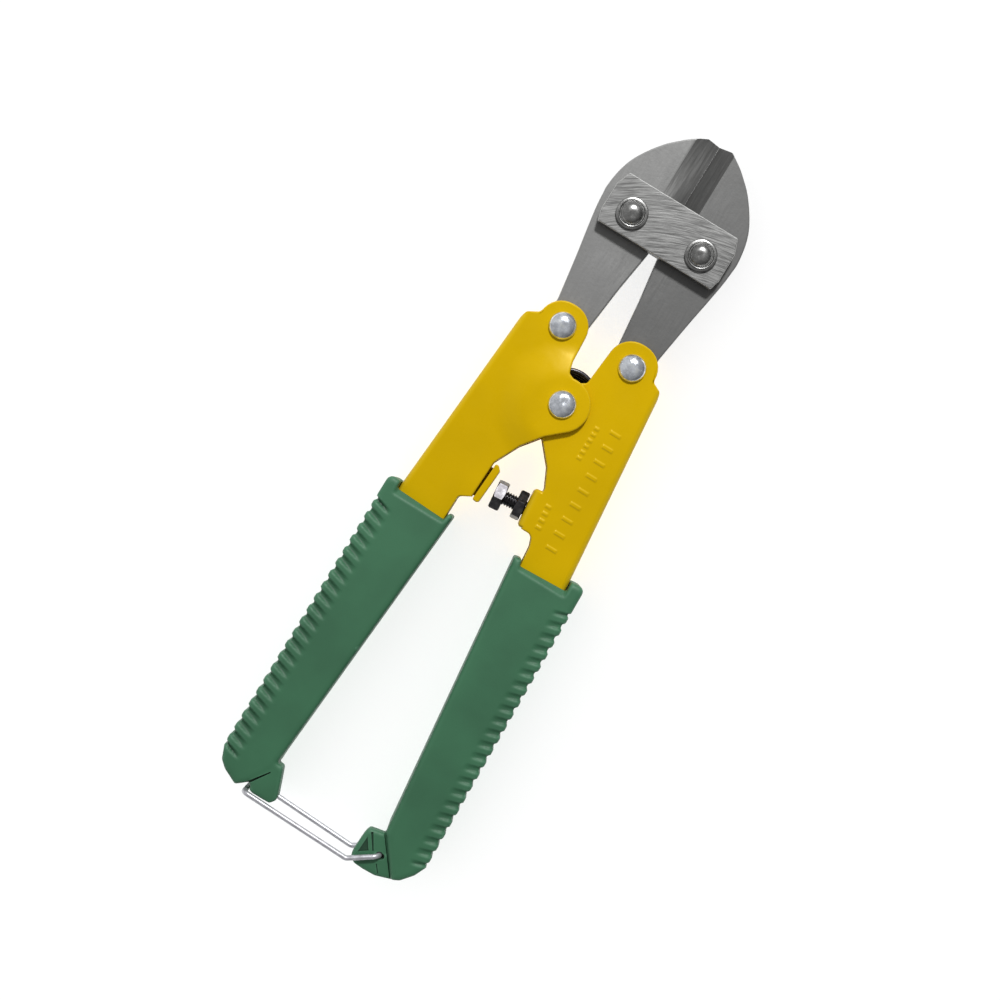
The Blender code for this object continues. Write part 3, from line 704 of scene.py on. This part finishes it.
def make_rivets():
    dull = zinc_finish("dull_rivet_steel", (0.3, 0.3, 0.295), 0.27, 1.0)
    zinc = zinc_finish("zinc_plate", (0.86, 0.9, 0.97), 0.17, 0.9)
    for hand, side in (("left", -1), ("right", 1)):
        place = (side * JAW_PIVOT[0], JAW_PIVOT[1])
        make_rivet(hand + "_jaw_rivet", "jaw_link", "jaw_rivet_steel", dull, place,
                   JAW_PIN_R, button(WASHER_OUT + 0.02, RIVET_TOP))
        make_washer(hand + "_jaw_washer_front", place, 1, dull)
        make_washer(hand + "_jaw_washer_back", place, -1, dull)
        place = (side * TAIL_PIVOT[0], TAIL_PIVOT[1])
        make_rivet(hand + "_tail_rivet", hand + "_handle", "zinc_rivet", zinc, place,
                   PIN_R, dome(HEAD_R, FLANGE_OUT + 0.04, TAIL_TOP, HEAD_EDGE, 0.08))
    make_rivet("handle_pivot_rivet", "right_handle", "zinc_rivet", zinc, (0, 0),
               PIN_R, dome(HEAD_R, LOBE_OUT + 0.04, RIVET_TOP, HEAD_EDGE, 0.08))


def make_bush(finish):
    half, outer, inner = FLANGE_IN - GAP, 3.2, PIN_R + GAP
    profile = [(outer - 0.3, half), (outer, half - 0.3), (outer, 0.3 - half), (outer - 0.3, -half),
               (inner, -half), (inner, half)]
    show(turned(profile, 64), "pivot_bush_sleeve", "right_handle", "black_oxide", finish,
         "pivot_bush")


# --- handles ---

CHANNEL_END = -108.0
LOBE_R = 7.1
LEFT_WEB = [(-20.5, 13.4), (-24.05, -38.0), (-24.2, CHANNEL_END)]
LEFT_FLANGE = [
    (-4.0, 23.2, 6.1), (-16.5, 23.2, 6.1), (-16.7, 17.3, 1.5), (-19.9, 15.5, 1.6),
    *LEFT_WEB, (-15.2, CHANNEL_END), (-10.3, -40.0), (-10.2, -33.0, 1.0), (-7.35, -31.4),
    (-7.0, -21.2), (-6.5, -20.2, 1.0), (-3.6, -14.3), (0.3, -9.2),
    *arc(0, 0, LOBE_R, -46, 98, 36), (-2.5, 7.6, 1.0), (-3.3, 10.7),
]
RIGHT_WEB = [(19.9, 13.6), (25.0, -38.0), (28.0, CHANNEL_END)]
RIGHT_FLANGE = [
    (3.9, 23.6, 6.2), (16.6, 23.6, 6.2), (16.6, 16.9, 1.2), (19.3, 15.6, 1.6),
    *RIGHT_WEB, (19.3, CHANNEL_END), (12.1, -40.0), (11.6, -34.6), (10.6, -31.8, 1.8),
    (7.6, -31.8), (7.2, -21.2), (7.3, -20.2, 1.0), (4.9, -15.2), (-0.3, -9.2),
    *arc(0, 0, LOBE_R, 226, 82, 36), (2.55, 8.0, 1.0), (2.7, 9.9),
]
WEB_ROUND = 1.7  # outside radius where the sheet bends into the web
JOGGLE_CENTRE = (0.0, -1.2)
JOGGLE_START, JOGGLE_STOP = 7.4, 17.2
JOGGLE_BOX, JOGGLE_GRID = ((-18.6, -19.0), (7.5, 16.6)), 0.6
FLANGE_RIM, PAD_RIM = 0.45, 0.36
PAD_TOP = FLANGE_IN + 1.2
STOP_PAD = [  # what the stop screw's head meets
    (-6.35, -21.0, 0.5), (-5.4, -21.3, 0.6), (-4.5, -22.3, 0.5), (-5.1, -31.6, 0.4),
    (-5.6, -32.0, 0.4), (-6.9, -31.9, 0.5),
]
PAD_ROOT = [(-8.5, -30.9), (-5.6, -30.9), (-5.1, -22.3), (-8.5, -22.3)]
TAB_FACE = Vector((5.69, -26.75, 0.0))
SCREW_TILT = math.radians(5.8)
SCREW_R = 1.95


def channel_cavity(web, side):
    """The space inside the channel, open towards the other handle."""
    inner = [(x - side * SHEET, y) for x, y in web]
    far = side * 40
    outline = [(-far, 40), (far, 40), (far, inner[0][1]), *inner,
               (inner[-1][0], -130), (-far, -130)]
    return slab(outline, -FLANGE_IN, FLANGE_IN)


def bend_cutter(line, side, face, radius):
    """What to take off outside a bend along a line in plan, where the sheet folds over."""
    reach = radius + 0.015  # a little wide, so that it never cuts along a face
    corner = [(radius + reach * math.cos(a), FLANGE_OUT - radius + reach * math.sin(a))
              for a in (math.radians(180 - 11.25 * k) for k in range(9))]
    section = [(-1.0, corner[0][1]), *corner, (radius, FLANGE_OUT + 1), (-1.0, FLANGE_OUT + 1)]
    (ax, ay), (bx, by) = line[:2]
    above = (ax + (ax - bx) / (ay - by) * 4, ay + 4)
    return loft([[(x - side * u, y, face * z) for u, z in section]
                 for x, y in (above, *line[1:-1], (line[-1][0], line[-1][1] - 4))])


def along_screw(distance, across=0.0, z=0.0):
    """A point given along the stop screw from the tab's face, and across it in plan."""
    c, s = math.cos(SCREW_TILT), math.sin(SCREW_TILT)
    return TAB_FACE + Vector((c * distance - s * across, s * distance + c * across, z))


def folded(flange, web, side):
    """A handle's channel: two flanges and the web that joins them."""
    channel = slab(fillet(flange), -FLANGE_OUT, FLANGE_OUT, FLANGE_RIM, 4)
    combine(channel, "DIFFERENCE",
            *(bend_cutter(web, side, face, WEB_ROUND) for face in (1, -1)),
            channel_cavity(web, side), bore(0, 0, PIN_R + GAP), tail_bore(side))
    return channel


def joggle(points, normals):
    """Raise both flanges round the pivot, so that they clear the other handle's."""
    away = np.hypot(points[:, 0] - JOGGLE_CENTRE[0], points[:, 1] - JOGGLE_CENTRE[1])
    lift = LOBE_LIFT * (1 - ease(away, JOGGLE_START, JOGGLE_STOP))
    points[:, 2] += np.sign(points[:, 2]) * lift
    return points


def make_left_channel(enamel):
    channel = folded(LEFT_FLANGE, LEFT_WEB, -1)
    combine(channel, "UNION", slab(fillet(STOP_PAD, 3), -FLANGE_OUT, PAD_TOP, PAD_RIM),
            slab(PAD_ROOT, -FLANGE_OUT, -FLANGE_IN))
    grid(channel, JOGGLE_BOX, JOGGLE_GRID)
    shape(channel, joggle)
    show(channel, "left_handle_pressing", "left_handle", "yellow_paint", enamel,
         "left_handle_channel")


MARK_HEIGHT = 0.2
MARK_BOX, MARK_GRID = ((9.4, -35.0), (18.6, 2.2)), 0.2
MARKS = [  # plain bars (x, y, half width, half length) down the handle
    *[(15.3 + 0.16 * k, 0.6 - 4.1 * k, 1.45, 0.42) for k in range(9)],
    *[(10.6, -0.6 - 1.7 * k, 0.62, 0.36) for k in range(6)],
    *[(10.4 + 0.2 * k, -23.6 - 1.9 * k, 0.75, 0.38) for k in range(4)],
]


def emboss(points, normals):
    """Raise the marks out of the front face."""
    front = points[:, 2] > FLANGE_OUT - 0.05
    for x, y, wide, long in MARKS:
        reach = np.maximum(np.abs(points[:, 0] - x) - wide, np.abs(points[:, 1] - y) - long)
        points[:, 2] += front * MARK_HEIGHT * (1 - ease(reach, -0.15, 0.2))
    return points


TAB_TOP, TAB_FOOT = 5.6, -4.9  # the tab's ends, across the screw
TAB_BEND = 1.9


def screw_tab():
    """The tab that carries the stop screw, folded down from the front flange."""
    low, high = 0.4 - FLANGE_OUT, FLANGE_OUT
    outer = [(TAB_BEND * (1 - math.sin(a)), high - TAB_BEND * (1 - math.cos(a)))
             for a in (math.radians(15 * k) for k in range(7))]
    section = [(4.2, high), *outer, (0.0, low), (SHEET, low),
               (SHEET, FLANGE_IN - 0.3), (SHEET + 0.3, FLANGE_IN), (4.2, FLANGE_IN)]
    rounding = [(0.0, 0.6), (0.15, 0.35), (0.45, 0.1), (0.8, 0.0)]
    levels = [(TAB_FOOT + along, inward) for along, inward in rounding]
    levels += [(TAB_TOP - along, inward) for along, inward in reversed(rounding)]
    return loft([[along_screw(d, across, z) for d, z in inset(section, inward)]
                 for across, inward in levels])


def make_right_channel(enamel):
    channel = folded(RIGHT_FLANGE, RIGHT_WEB, 1)
    hole = turned([(0.0, -3.0), (SCREW_R + GAP, -3.0), (SCREW_R + GAP, 4.0), (0.0, 4.0)], 32,
                  screw_frame(0.0))
    combine(channel, "UNION", screw_tab())
    combine(channel, "DIFFERENCE", hole)
    grid(channel, MARK_BOX, MARK_GRID, FLANGE_OUT - 0.2)
    shape(channel, emboss)
    show(channel, "right_handle_pressing", "right_handle", "yellow_paint", enamel,
         "right_handle_channel")


# --- stop screw ---

HEX_FLATS = 7.0
NUT_THICK, HEAD_THICK = 2.4, 2.8
HEAD_FACE = -5.95  # the head's inner face, along the screw from the tab
SCREW_LENGTH = 14.0
THREAD_PITCH, THREAD_DEPTH = 0.7, 0.38
TIP_LENGTH, TIP_TAPER = 0.6, 0.4
HEAD_ROLL, NUT_ROLL = math.radians(12), math.radians(-12)


def screw_frame(distance, roll=0.0):
    """A frame on the screw's axis: local Z runs from the head into the tab."""
    return (Matrix.Translation(along_screw(distance)) @ Matrix.Rotation(SCREW_TILT, 4, "Z")
            @ Matrix.Rotation(math.radians(90), 4, "Y") @ Matrix.Rotation(roll, 4, "Z"))


def hexagon(place, thickness):
    """A hexagonal prism with its corners turned off at both ends."""
    corner = HEX_FLATS / 2 / math.cos(math.radians(30))
    block = slab(circle(0, 0, corner, 6), 0, thickness)
    block.data.transform(place)
    lathe = [(0.0, 0.0), (corner - 0.5, 0.0), (corner + 0.1, 0.4),
             (corner + 0.1, thickness - 0.4), (corner - 0.5, thickness), (0.0, thickness)]
    return combine(block, "INTERSECT", turned(lathe, 72, place))


def threaded_rod(place, start, stop, around=40):
    """A rod with one real thread, which tapers off at its tip."""
    steps = round((stop - start) / THREAD_PITCH * 10)
    rings = []
    for i in range(steps + 1):
        z = start + (stop - start) * i / steps
        taper = TIP_TAPER * (1 - min(1.0, (stop - z) / TIP_LENGTH))
        ring = []
        for k in range(around):
            turn = (z / THREAD_PITCH - k / around) % 1.0
            depth = THREAD_DEPTH * min(1.0, 1.25 * abs(2 * turn - 1))
            radius = SCREW_R - depth - taper
            a = math.tau * k / around
            ring.append((radius * math.cos(a), radius * math.sin(a), z))
        rings.append(ring)
    rod = loft(rings)
    rod.data.transform(place)
    return rod


def make_stop_screw(finish):
    head = hexagon(screw_frame(HEAD_FACE - HEAD_THICK, HEAD_ROLL), HEAD_THICK)
    round_edges(head)
    rod = threaded_rod(screw_frame(HEAD_FACE), -0.5, SCREW_LENGTH)
    combine(head, "UNION", rod)
    show(head, "stop_screw_bolt", "stop_screw", "black_oxide", finish, "stop_screw", sharp=26)
    nut = hexagon(screw_frame(-GAP - NUT_THICK, NUT_ROLL), NUT_THICK)
    inner = SCREW_R + 0.08
    hole = [(0.0, -1.0), (inner + 1.3, -1.0), (inner, 0.35), (inner, NUT_THICK - 0.35),
            (inner + 1.3, NUT_THICK + 1), (0.0, NUT_THICK + 1)]
    combine(nut, "DIFFERENCE", turned(hole, 48, screw_frame(-GAP - NUT_THICK)))
    round_edges(nut)
    show(nut, "stop_nut_hexagon", "stop_nut", "black_oxide", finish, "stop_nut", sharp=26)


# --- spring and bail ---

COIL_CENTRE = (0.3, 2.75)
COIL_R = 6.95
COIL_TURNS = 3.5
COIL_PITCH = 1.42
COIL_LEAN = 0.5  # each turn sits this much nearer the grips than the one above
SPRING_WIRE = 1.2
LEFT_LEG = [(-20.6, -31.0), (-14.5, -19.5), (-9.4, -8.5)]
RIGHT_LEG = [(9.9, -8.5), (15.4, -19.5), (21.3, -30.0)]
BAIL_WIRE = 1.36
BAIL_BEND = 1.5
BAIL_TIP_Z = 3.6  # its ends, inside the lug
BAIL_Z = 8.2
BAIL_INNER_Z = 6.2  # the back leg stands closer in at the lug
BAIL_END = (-17.3, -123.5)
BAIL_ELBOW = (13.0, -124.35)


def make_spring(finish):
    """Torsion spring: a coil round the bush, and two legs that push the handles apart."""
    cx, cy = COIL_CENTRE
    steps = round(40 * COIL_TURNS)
    rise = COIL_TURNS * COIL_PITCH
    coil = []
    for k in range(steps + 1):
        angle = math.radians(180) - math.tau * COIL_TURNS * k / steps
        z = rise * (0.5 - k / steps)
        sag = COIL_LEAN * COIL_TURNS * k / steps
        coil.append(Vector((cx + COIL_R * math.cos(angle), cy - sag + COIL_R * math.sin(angle), z)))
    left = [*(Vector((x, y, rise / 2)) for x, y in LEFT_LEG),
            coil[0] + Vector((-0.05, -2.2, 0)), coil[0]]
    right = [coil[-1], coil[-1] + Vector((0.05, -2.2, 0)),
             *(Vector((x, y, -rise / 2)) for x, y in RIGHT_LEG)]
    route = curve_through(left, 8)[:-1] + coil[:-1] + curve_through(right, 8)
    spring = show(tube(route, SPRING_WIRE / 2, 16), "opening_spring_coil", None, "spring_steel",
                  finish, "opening_spring", sharp=60)
    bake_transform(spring)


def bail_leg(face):
    """One leg of the bail, from inside the lug to behind the hook."""
    up = Vector((0, 0, face))
    hole = Vector((*BAIL_HOLE, 0))
    near = up * (BAIL_Z if face > 0 else BAIL_INNER_Z)
    knee, turn = hole + near, Vector((*BAIL_ELBOW, 0)) + near
    last = Vector((*BAIL_END, 0)) + up * BAIL_Z
    return [hole + up * BAIL_TIP_Z, knee, turn, last]


def rounded_route(corners, radius):
    """Straight runs between the corners, with a round bend at each inner corner."""
    route = [corners[0]]
    for before, here, after in zip(corners, corners[1:], corners[2:]):
        back, on = (before - here).normalized(), (after - here).normalized()
        half = back.angle(on) / 2
        reach = min(radius / math.tan(half), 0.45 * (before - here).length)
        centre = here + (back + on).normalized() * (reach / math.cos(half))
        first, last = here + back * reach - centre, here + on * reach - centre
        sweep = first.rotation_difference(last)
        for k in range(8):
            part = sweep.copy()
            part.angle = sweep.angle * k / 7
            route.append(centre + part @ first)
    return route + [corners[-1]]


def make_bail(finish):
    corners = bail_leg(1) + list(reversed(bail_leg(-1)))
    route = rounded_route(corners, BAIL_BEND)
    show(tube(route, BAIL_WIRE / 2, 18), "latch_bail_wire", "latch_bail", "bright_wire", finish,
         "latch_bail", sharp=60)


# --- grips ---

LEFT_OUTER = [(-27.6, -37.0), (-27.75, -115.6)]
LEFT_GRIP = [
    (-8.45, -38.0, 0.5), (*LEFT_OUTER[0], 1.6), LEFT_OUTER[1], (-26.2, -119.5, 2.0),
    (-24.2, -121.2), (-20.2, -123.1), (-17.5, -121.0), (-13.85, -114.9), (-13.77, -112.0),
]
RIGHT_OUTER = [(28.9, -36.1), (31.4, -116.0)]
RIGHT_GRIP = [
    (9.6, -38.4, 0.5), (18.0, -112.3), (18.1, -113.6), (25.4, -123.2), (27.4, -122.2),
    (29.9, -119.2), (*RIGHT_OUTER[1], 1.5), (*RIGHT_OUTER[0], 1.5),
]
HOOK = [  # the tongue the bail is held behind
    (-16.2, -110.4), (-13.8, -113.1), (-12.1, -113.2, 0.5), (-11.75, -113.9), (-9.35, -120.3),
    (-9.35, -121.4, 0.5), (-10.4, -122.7, 0.6), (-16.2, -122.6, 0.5), (-16.9, -121.0),
    (-20.0, -119.0), (-21.0, -113.0),
]
HOOK_HEEL = [  # the longer part of it, between the bail's legs
    (-19.5, -114.5), (-14.2, -115.6), (-12.6, -116.4), (-10.9, -121.0), (-10.9, -123.0, 0.5),
    (-11.7, -123.8, 0.5), (-16.0, -123.8, 0.5), (-16.8, -121.0), (-20.0, -119.5),
]
LUG = [
    (24.0, -109.4), (19.5, -112.5), (18.1, -114.4), (15.8, -114.8), (14.2, -115.2, 0.5),
    (13.75, -116.8, 0.6), (13.5, -122.3), (14.0, -124.0, 0.5), (15.5, -124.7), (18.0, -124.85),
    (21.4, -124.7), (25.4, -123.4), (28.0, -118.0),
]
LUG_BOSS = [
    (24.0, -111.0), (20.6, -115.6), (17.6, -117.2), (15.7, -119.0), (15.7, -123.0),
    (17.5, -124.2), (21.4, -124.2), (25.4, -123.0), (28.0, -118.0),
]
LUG_TOP, LUG_STEP = 7.2, 3.2
HOOK_TOP, HOOK_STEP = 8.9, 3.3
LATCH_BACK = -5.0
GRIP_RIM, LATCH_RIM, HEEL_RIM = 1.2, 0.7, 0.4
HOOK_SLOT = ((-18.3, -121.9), (-14.05, -115.8), 0.75, 0.3, 1.6)
LUG_SCORES = [  # start, stop, width at each, depth
    ((18.0, -114.2), (25.9, -124.2), 0.22, 0.3, 0.7),
    ((15.3, -115.6), (17.9, -119.5), 0.6, 0.3, 0.6),
    ((20.3, -121.8), (21.8, -123.7), 0.25, 0.25, 0.4),
]
LUG_POCKET = [(14.9, -117.2), (16.9, -120.0), (14.7, -121.6)]
POCKET_DEPTH = 0.5
VOXEL = 0.36
MOUTH_TOP, MOUTH_LIP = -30.0, -39.9
LIP_DROP = 0.95
RIDGES = 21
RIDGE_PITCH = 3.42
FIRST_RIDGE = -45.4
SIDE_DEPTH = 0.6
FACE_DEPTH = {-1: 0.85, 1: 0.55}  # the right grip is the more worn
GROOVE_REACH = {-1: 5.3, 1: 4.4}  # how far the grooves run in over the grips' faces
GROOVE_SLANT = 0.3


def on_line(ends, y):
    """X at a given Y on the line through two points."""
    (ax, ay), (bx, by) = ends
    return ax + (bx - ax) * (y - ay) / (by - ay)


def ridge_cutter(side, outer):
    """What shapes a grip's ridges: grooves in the outer side that fade out over the faces."""
    def move(points, normals):
        inward = side * (on_line(outer, points[:, 1]) - points[:, 0])
        phase = (FIRST_RIDGE - points[:, 1] - GROOVE_SLANT * inward) / RIDGE_PITCH
        groove = ease(0.5 - 0.5 * np.cos(math.tau * phase), 0.3, 0.9)
        row = ease(phase, -0.62, -0.48) * (1 - ease(phase, RIDGES - 0.52, RIDGES - 0.38))
        fade = 1 - np.clip(inward / GROOVE_REACH[side], 0, 1) ** 3
        depth = SIDE_DEPTH + (FACE_DEPTH[side] - SIDE_DEPTH) * np.abs(normals[:, 2])
        outside = (np.abs(points[:, 2]) > FLANGE_OUT + GAP + 0.9) | (inward < 2.4)
        return points - normals * (depth * groove * row * fade * outside)[:, None]
    return move


def lip_cutter(side, inner, web):
    """What rounds the front lip, where the handle goes into the grip's mouth."""
    def move(points, normals):
        behind = MOUTH_LIP - points[:, 1]
        inside = ease(side * (points[:, 0] - on_line(inner, points[:, 1])), -0.6, 0.2)
        inside *= 1 - ease(side * (points[:, 0] - on_line(web[1:], points[:, 1])), -0.4, 0.8)
        faces = np.abs(points[:, 2]) > FLANGE_OUT + GAP + 0.4
        drop = LIP_DROP * (1 - ease(behind, -0.4, 1.3)) * inside * faces
        points[:, 2] -= np.sign(points[:, 2]) * drop
        return points
    return move


def grip_body(side, outline, latch, inner, web):
    """A grip before its ridges: the hollow body, its open mouth and its end fitting."""
    body = slab(fillet(outline, 4), -GRIP_HALF, GRIP_HALF, GRIP_RIM, 4)
    half = FLANGE_OUT + GAP
    end = CHANNEL_END - GAP
    outside = [on_line(web[1:], y) + side * GAP for y in (MOUTH_TOP, end)]
    inside = [on_line(inner, y) - side * GAP for y in (MOUTH_TOP, end)]
    pocket = [(outside[0], MOUTH_TOP), (outside[1], end), (inside[1], end), (inside[0], MOUTH_TOP)]
    edge = side * 0.15
    mouth = [(on_line(web[1:], MOUTH_TOP) + edge, MOUTH_TOP),
             (on_line(web[1:], MOUTH_LIP) + edge, MOUTH_LIP + 0.6),
             (on_line(inner, MOUTH_LIP) - edge, MOUTH_LIP),
             (on_line(inner, MOUTH_TOP) - edge, MOUTH_TOP)]
    inner_x = mouth[2][0]
    corner = [(inner_x + side * 1.1, MOUTH_LIP + 0.04), (inner_x + side * 1.1, MOUTH_TOP + 1),
              (inner_x - side * 4, MOUTH_TOP + 1), (inner_x - side * 4, MOUTH_LIP + 0.04)]
    combine(body, "DIFFERENCE", slab(pocket, -half, half), slab(mouth, -THROUGH, THROUGH),
            slab(corner, -2.0, THROUGH))
    return join(body, latch)


def scored(start, stop, wide, narrow, depth, top):
    """A cutter for a straight groove that narrows along its length."""
    start, stop = Vector(start), Vector(stop)
    side = (stop - start).normalized().orthogonal() / 2
    return slab([start - side * wide, stop - side * narrow, stop + side * narrow,
                 start + side * wide], top - depth, THROUGH)


def layered(front, step, top, back):
    """An end fitting made of a front layer over a narrower one behind."""
    return join(slab(fillet(front, 4), step, top, LATCH_RIM),
                slab(fillet(back, 4), LATCH_BACK, step + 0.9, HEEL_RIM))


def join(one, other):
    """Both meshes in one object; a voxel remesh makes one skin of them."""
    bm = bmesh.new()
    for item in (one, other):
        bm.from_mesh(item.data)
        bpy.data.objects.remove(item, do_unlink=True)
    return make_object("joined", bm)


def make_grip(hand, side, outline, outer, latch, cuts, inner, web, finish):
    grip = grip_body(side, outline, latch, inner, web)
    modify(grip, "REMESH", mode="VOXEL", voxel_size=VOXEL, adaptivity=0.0)
    modify(grip, "SMOOTH", factor=0.5, iterations=3)
    shape(grip, ridge_cutter(side, outer))
    shape(grip, lip_cutter(side, inner, web))
    combine(grip, "DIFFERENCE", *cuts)
    show(grip, hand + "_grip_moulding", hand + "_handle", "green_plastic", finish,
         hand + "_grip", sharp=50)


def make_grips():
    plastic = plastic_finish()
    left_inner = [(-10.3, -40.0), (-15.2, CHANNEL_END)]
    right_inner = [(12.1, -40.0), (19.3, CHANNEL_END)]
    hook = layered(HOOK, HOOK_STEP, HOOK_TOP, HOOK_HEEL)
    slot = scored(*HOOK_SLOT, HOOK_TOP)
    lug = layered(LUG, LUG_STEP, LUG_TOP, LUG_BOSS)
    scores = [*(scored(*score, LUG_TOP) for score in LUG_SCORES),
              slab(LUG_POCKET, LUG_TOP - POCKET_DEPTH, THROUGH),
              bore(*BAIL_HOLE, BAIL_WIRE / 2 + 0.3),
              bore(BAIL_HOLE[0] + 0.5, BAIL_HOLE[1], BAIL_WIRE / 2 + 0.2)]
    make_grip("left", -1, LEFT_GRIP, LEFT_OUTER, hook, [slot], left_inner, LEFT_WEB, plastic)
    make_grip("right", 1, RIGHT_GRIP, RIGHT_OUTER, lug, scores, right_inner, RIGHT_WEB, plastic)


# --- studio ---

CAMERA_HEIGHT = 400.0  # over the tool's middle plane
CAMERA_OVER = (-0.8, -28.4)
CAMERA_TURN = math.radians(31.5)
CAMERA_LENS = 56.74
# Directions are degrees anticlockwise from the top of the camera's view.
KEY_TURN, KEY_HEIGHT = -20, 50
KEY_DISTANCE, KEY_SIZE = 0.9, 0.13
KEY_POWER, WASH_POWER = 6.2, 2.6
BRIGHT_TURN = 50  # the brighter side of the room
ROOM_DARK, ROOM_BRIGHT = 0.08, 0.5
FLOOR_HALF, FLOOR_DROP = 1.5, 0.0002  # metres


def make_camera():
    data = bpy.data.cameras.new("camera")
    data.lens = CAMERA_LENS
    data.clip_start = 0.01
    camera = placed("camera", data)
    camera.location = PIVOT + Vector((*CAMERA_OVER, CAMERA_HEIGHT)) * MM
    camera.rotation_euler = (0, 0, CAMERA_TURN)
    bpy.context.scene.camera = camera


def make_floor():
    bm = bmesh.new()
    bmesh.ops.create_grid(bm, x_segments=1, y_segments=1, size=FLOOR_HALF)
    floor = make_object("floor", bm)
    floor.location.z = -FLOOR_DROP
    white = Finish("floor_white", (0.9, 0.9, 0.9), 0.0, Roughness=0.9, Specular_IOR_Level=0.1)
    floor.data.materials.append(white.material)
    floor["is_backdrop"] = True
    return floor


def lit_only(light, name, items):
    """Make a light reach only these objects."""
    group = bpy.data.collections.new(name)
    for item in items:
        group.objects.link(item)
    light.light_linking.receiver_collection = group


def make_key():
    """A soft box aimed at the tool."""
    data = bpy.data.lights.new("key", "AREA")
    data.shape = "DISK"
    data.size = KEY_SIZE
    data.energy = KEY_POWER
    light = placed("key", data)
    a, e = CAMERA_TURN + math.radians(KEY_TURN), math.radians(KEY_HEIGHT)
    way = Vector((-math.sin(a) * math.cos(e), math.cos(a) * math.cos(e), math.sin(e)))
    light.location = PIVOT + Vector((0, -20, 0)) * MM + way * KEY_DISTANCE
    light.rotation_euler = (-way).to_track_quat("-Z", "Y").to_euler()
    return light


def make_world():
    """A grey studio, brighter on one side and overhead: soft fill and reflections."""
    world = bpy.data.worlds.new("studio")
    bpy.context.scene.world = world
    world.use_nodes = True
    nodes, links = world.node_tree.nodes, world.node_tree.links
    where = nodes.new("ShaderNodeTexCoord")
    along = nodes.new("ShaderNodeVectorMath")
    along.operation = "DOT_PRODUCT"
    turn = CAMERA_TURN + math.radians(BRIGHT_TURN)
    bright = (-0.8 * math.sin(turn), 0.8 * math.cos(turn), 0.6)
    along.inputs[1].default_value = bright
    ramp = nodes.new("ShaderNodeMapRange")
    for key, value in (("From Min", -0.6), ("To Min", ROOM_DARK), ("To Max", ROOM_BRIGHT)):
        ramp.inputs[key].default_value = value
    links.new(where.outputs["Generated"], along.inputs[0])
    links.new(along.outputs["Value"], ramp.inputs["Value"])
    links.new(ramp.outputs[0], nodes["Background"].inputs["Strength"])
    nodes["Background"].inputs["Color"].default_value = (1, 1, 1, 1)


def make_studio():
    make_world()
    floor = make_floor()
    lit_only(make_key(), "lit_by_key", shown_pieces())
    wash = bpy.data.lights.new("wash", "SUN")
    wash.energy = WASH_POWER
    wash.use_shadow = False
    lit_only(placed("wash", wash), "lit_by_wash", [floor])
    bpy.context.scene.view_settings.view_transform = "Standard"


def main():
    make_camera()
    make_jaw(-1, "left")
    make_jaw(1, "right")
    make_link_plates()
    make_rivets()
    black = black_finish("black_oxide", 0.3)
    make_bush(black)
    enamel = enamel_finish()
    make_left_channel(enamel)
    make_right_channel(enamel)
    make_stop_screw(black)
    make_spring(black_finish("spring_black", 0.25))
    make_bail(wire_finish())
    make_grips()
    make_studio()


main()
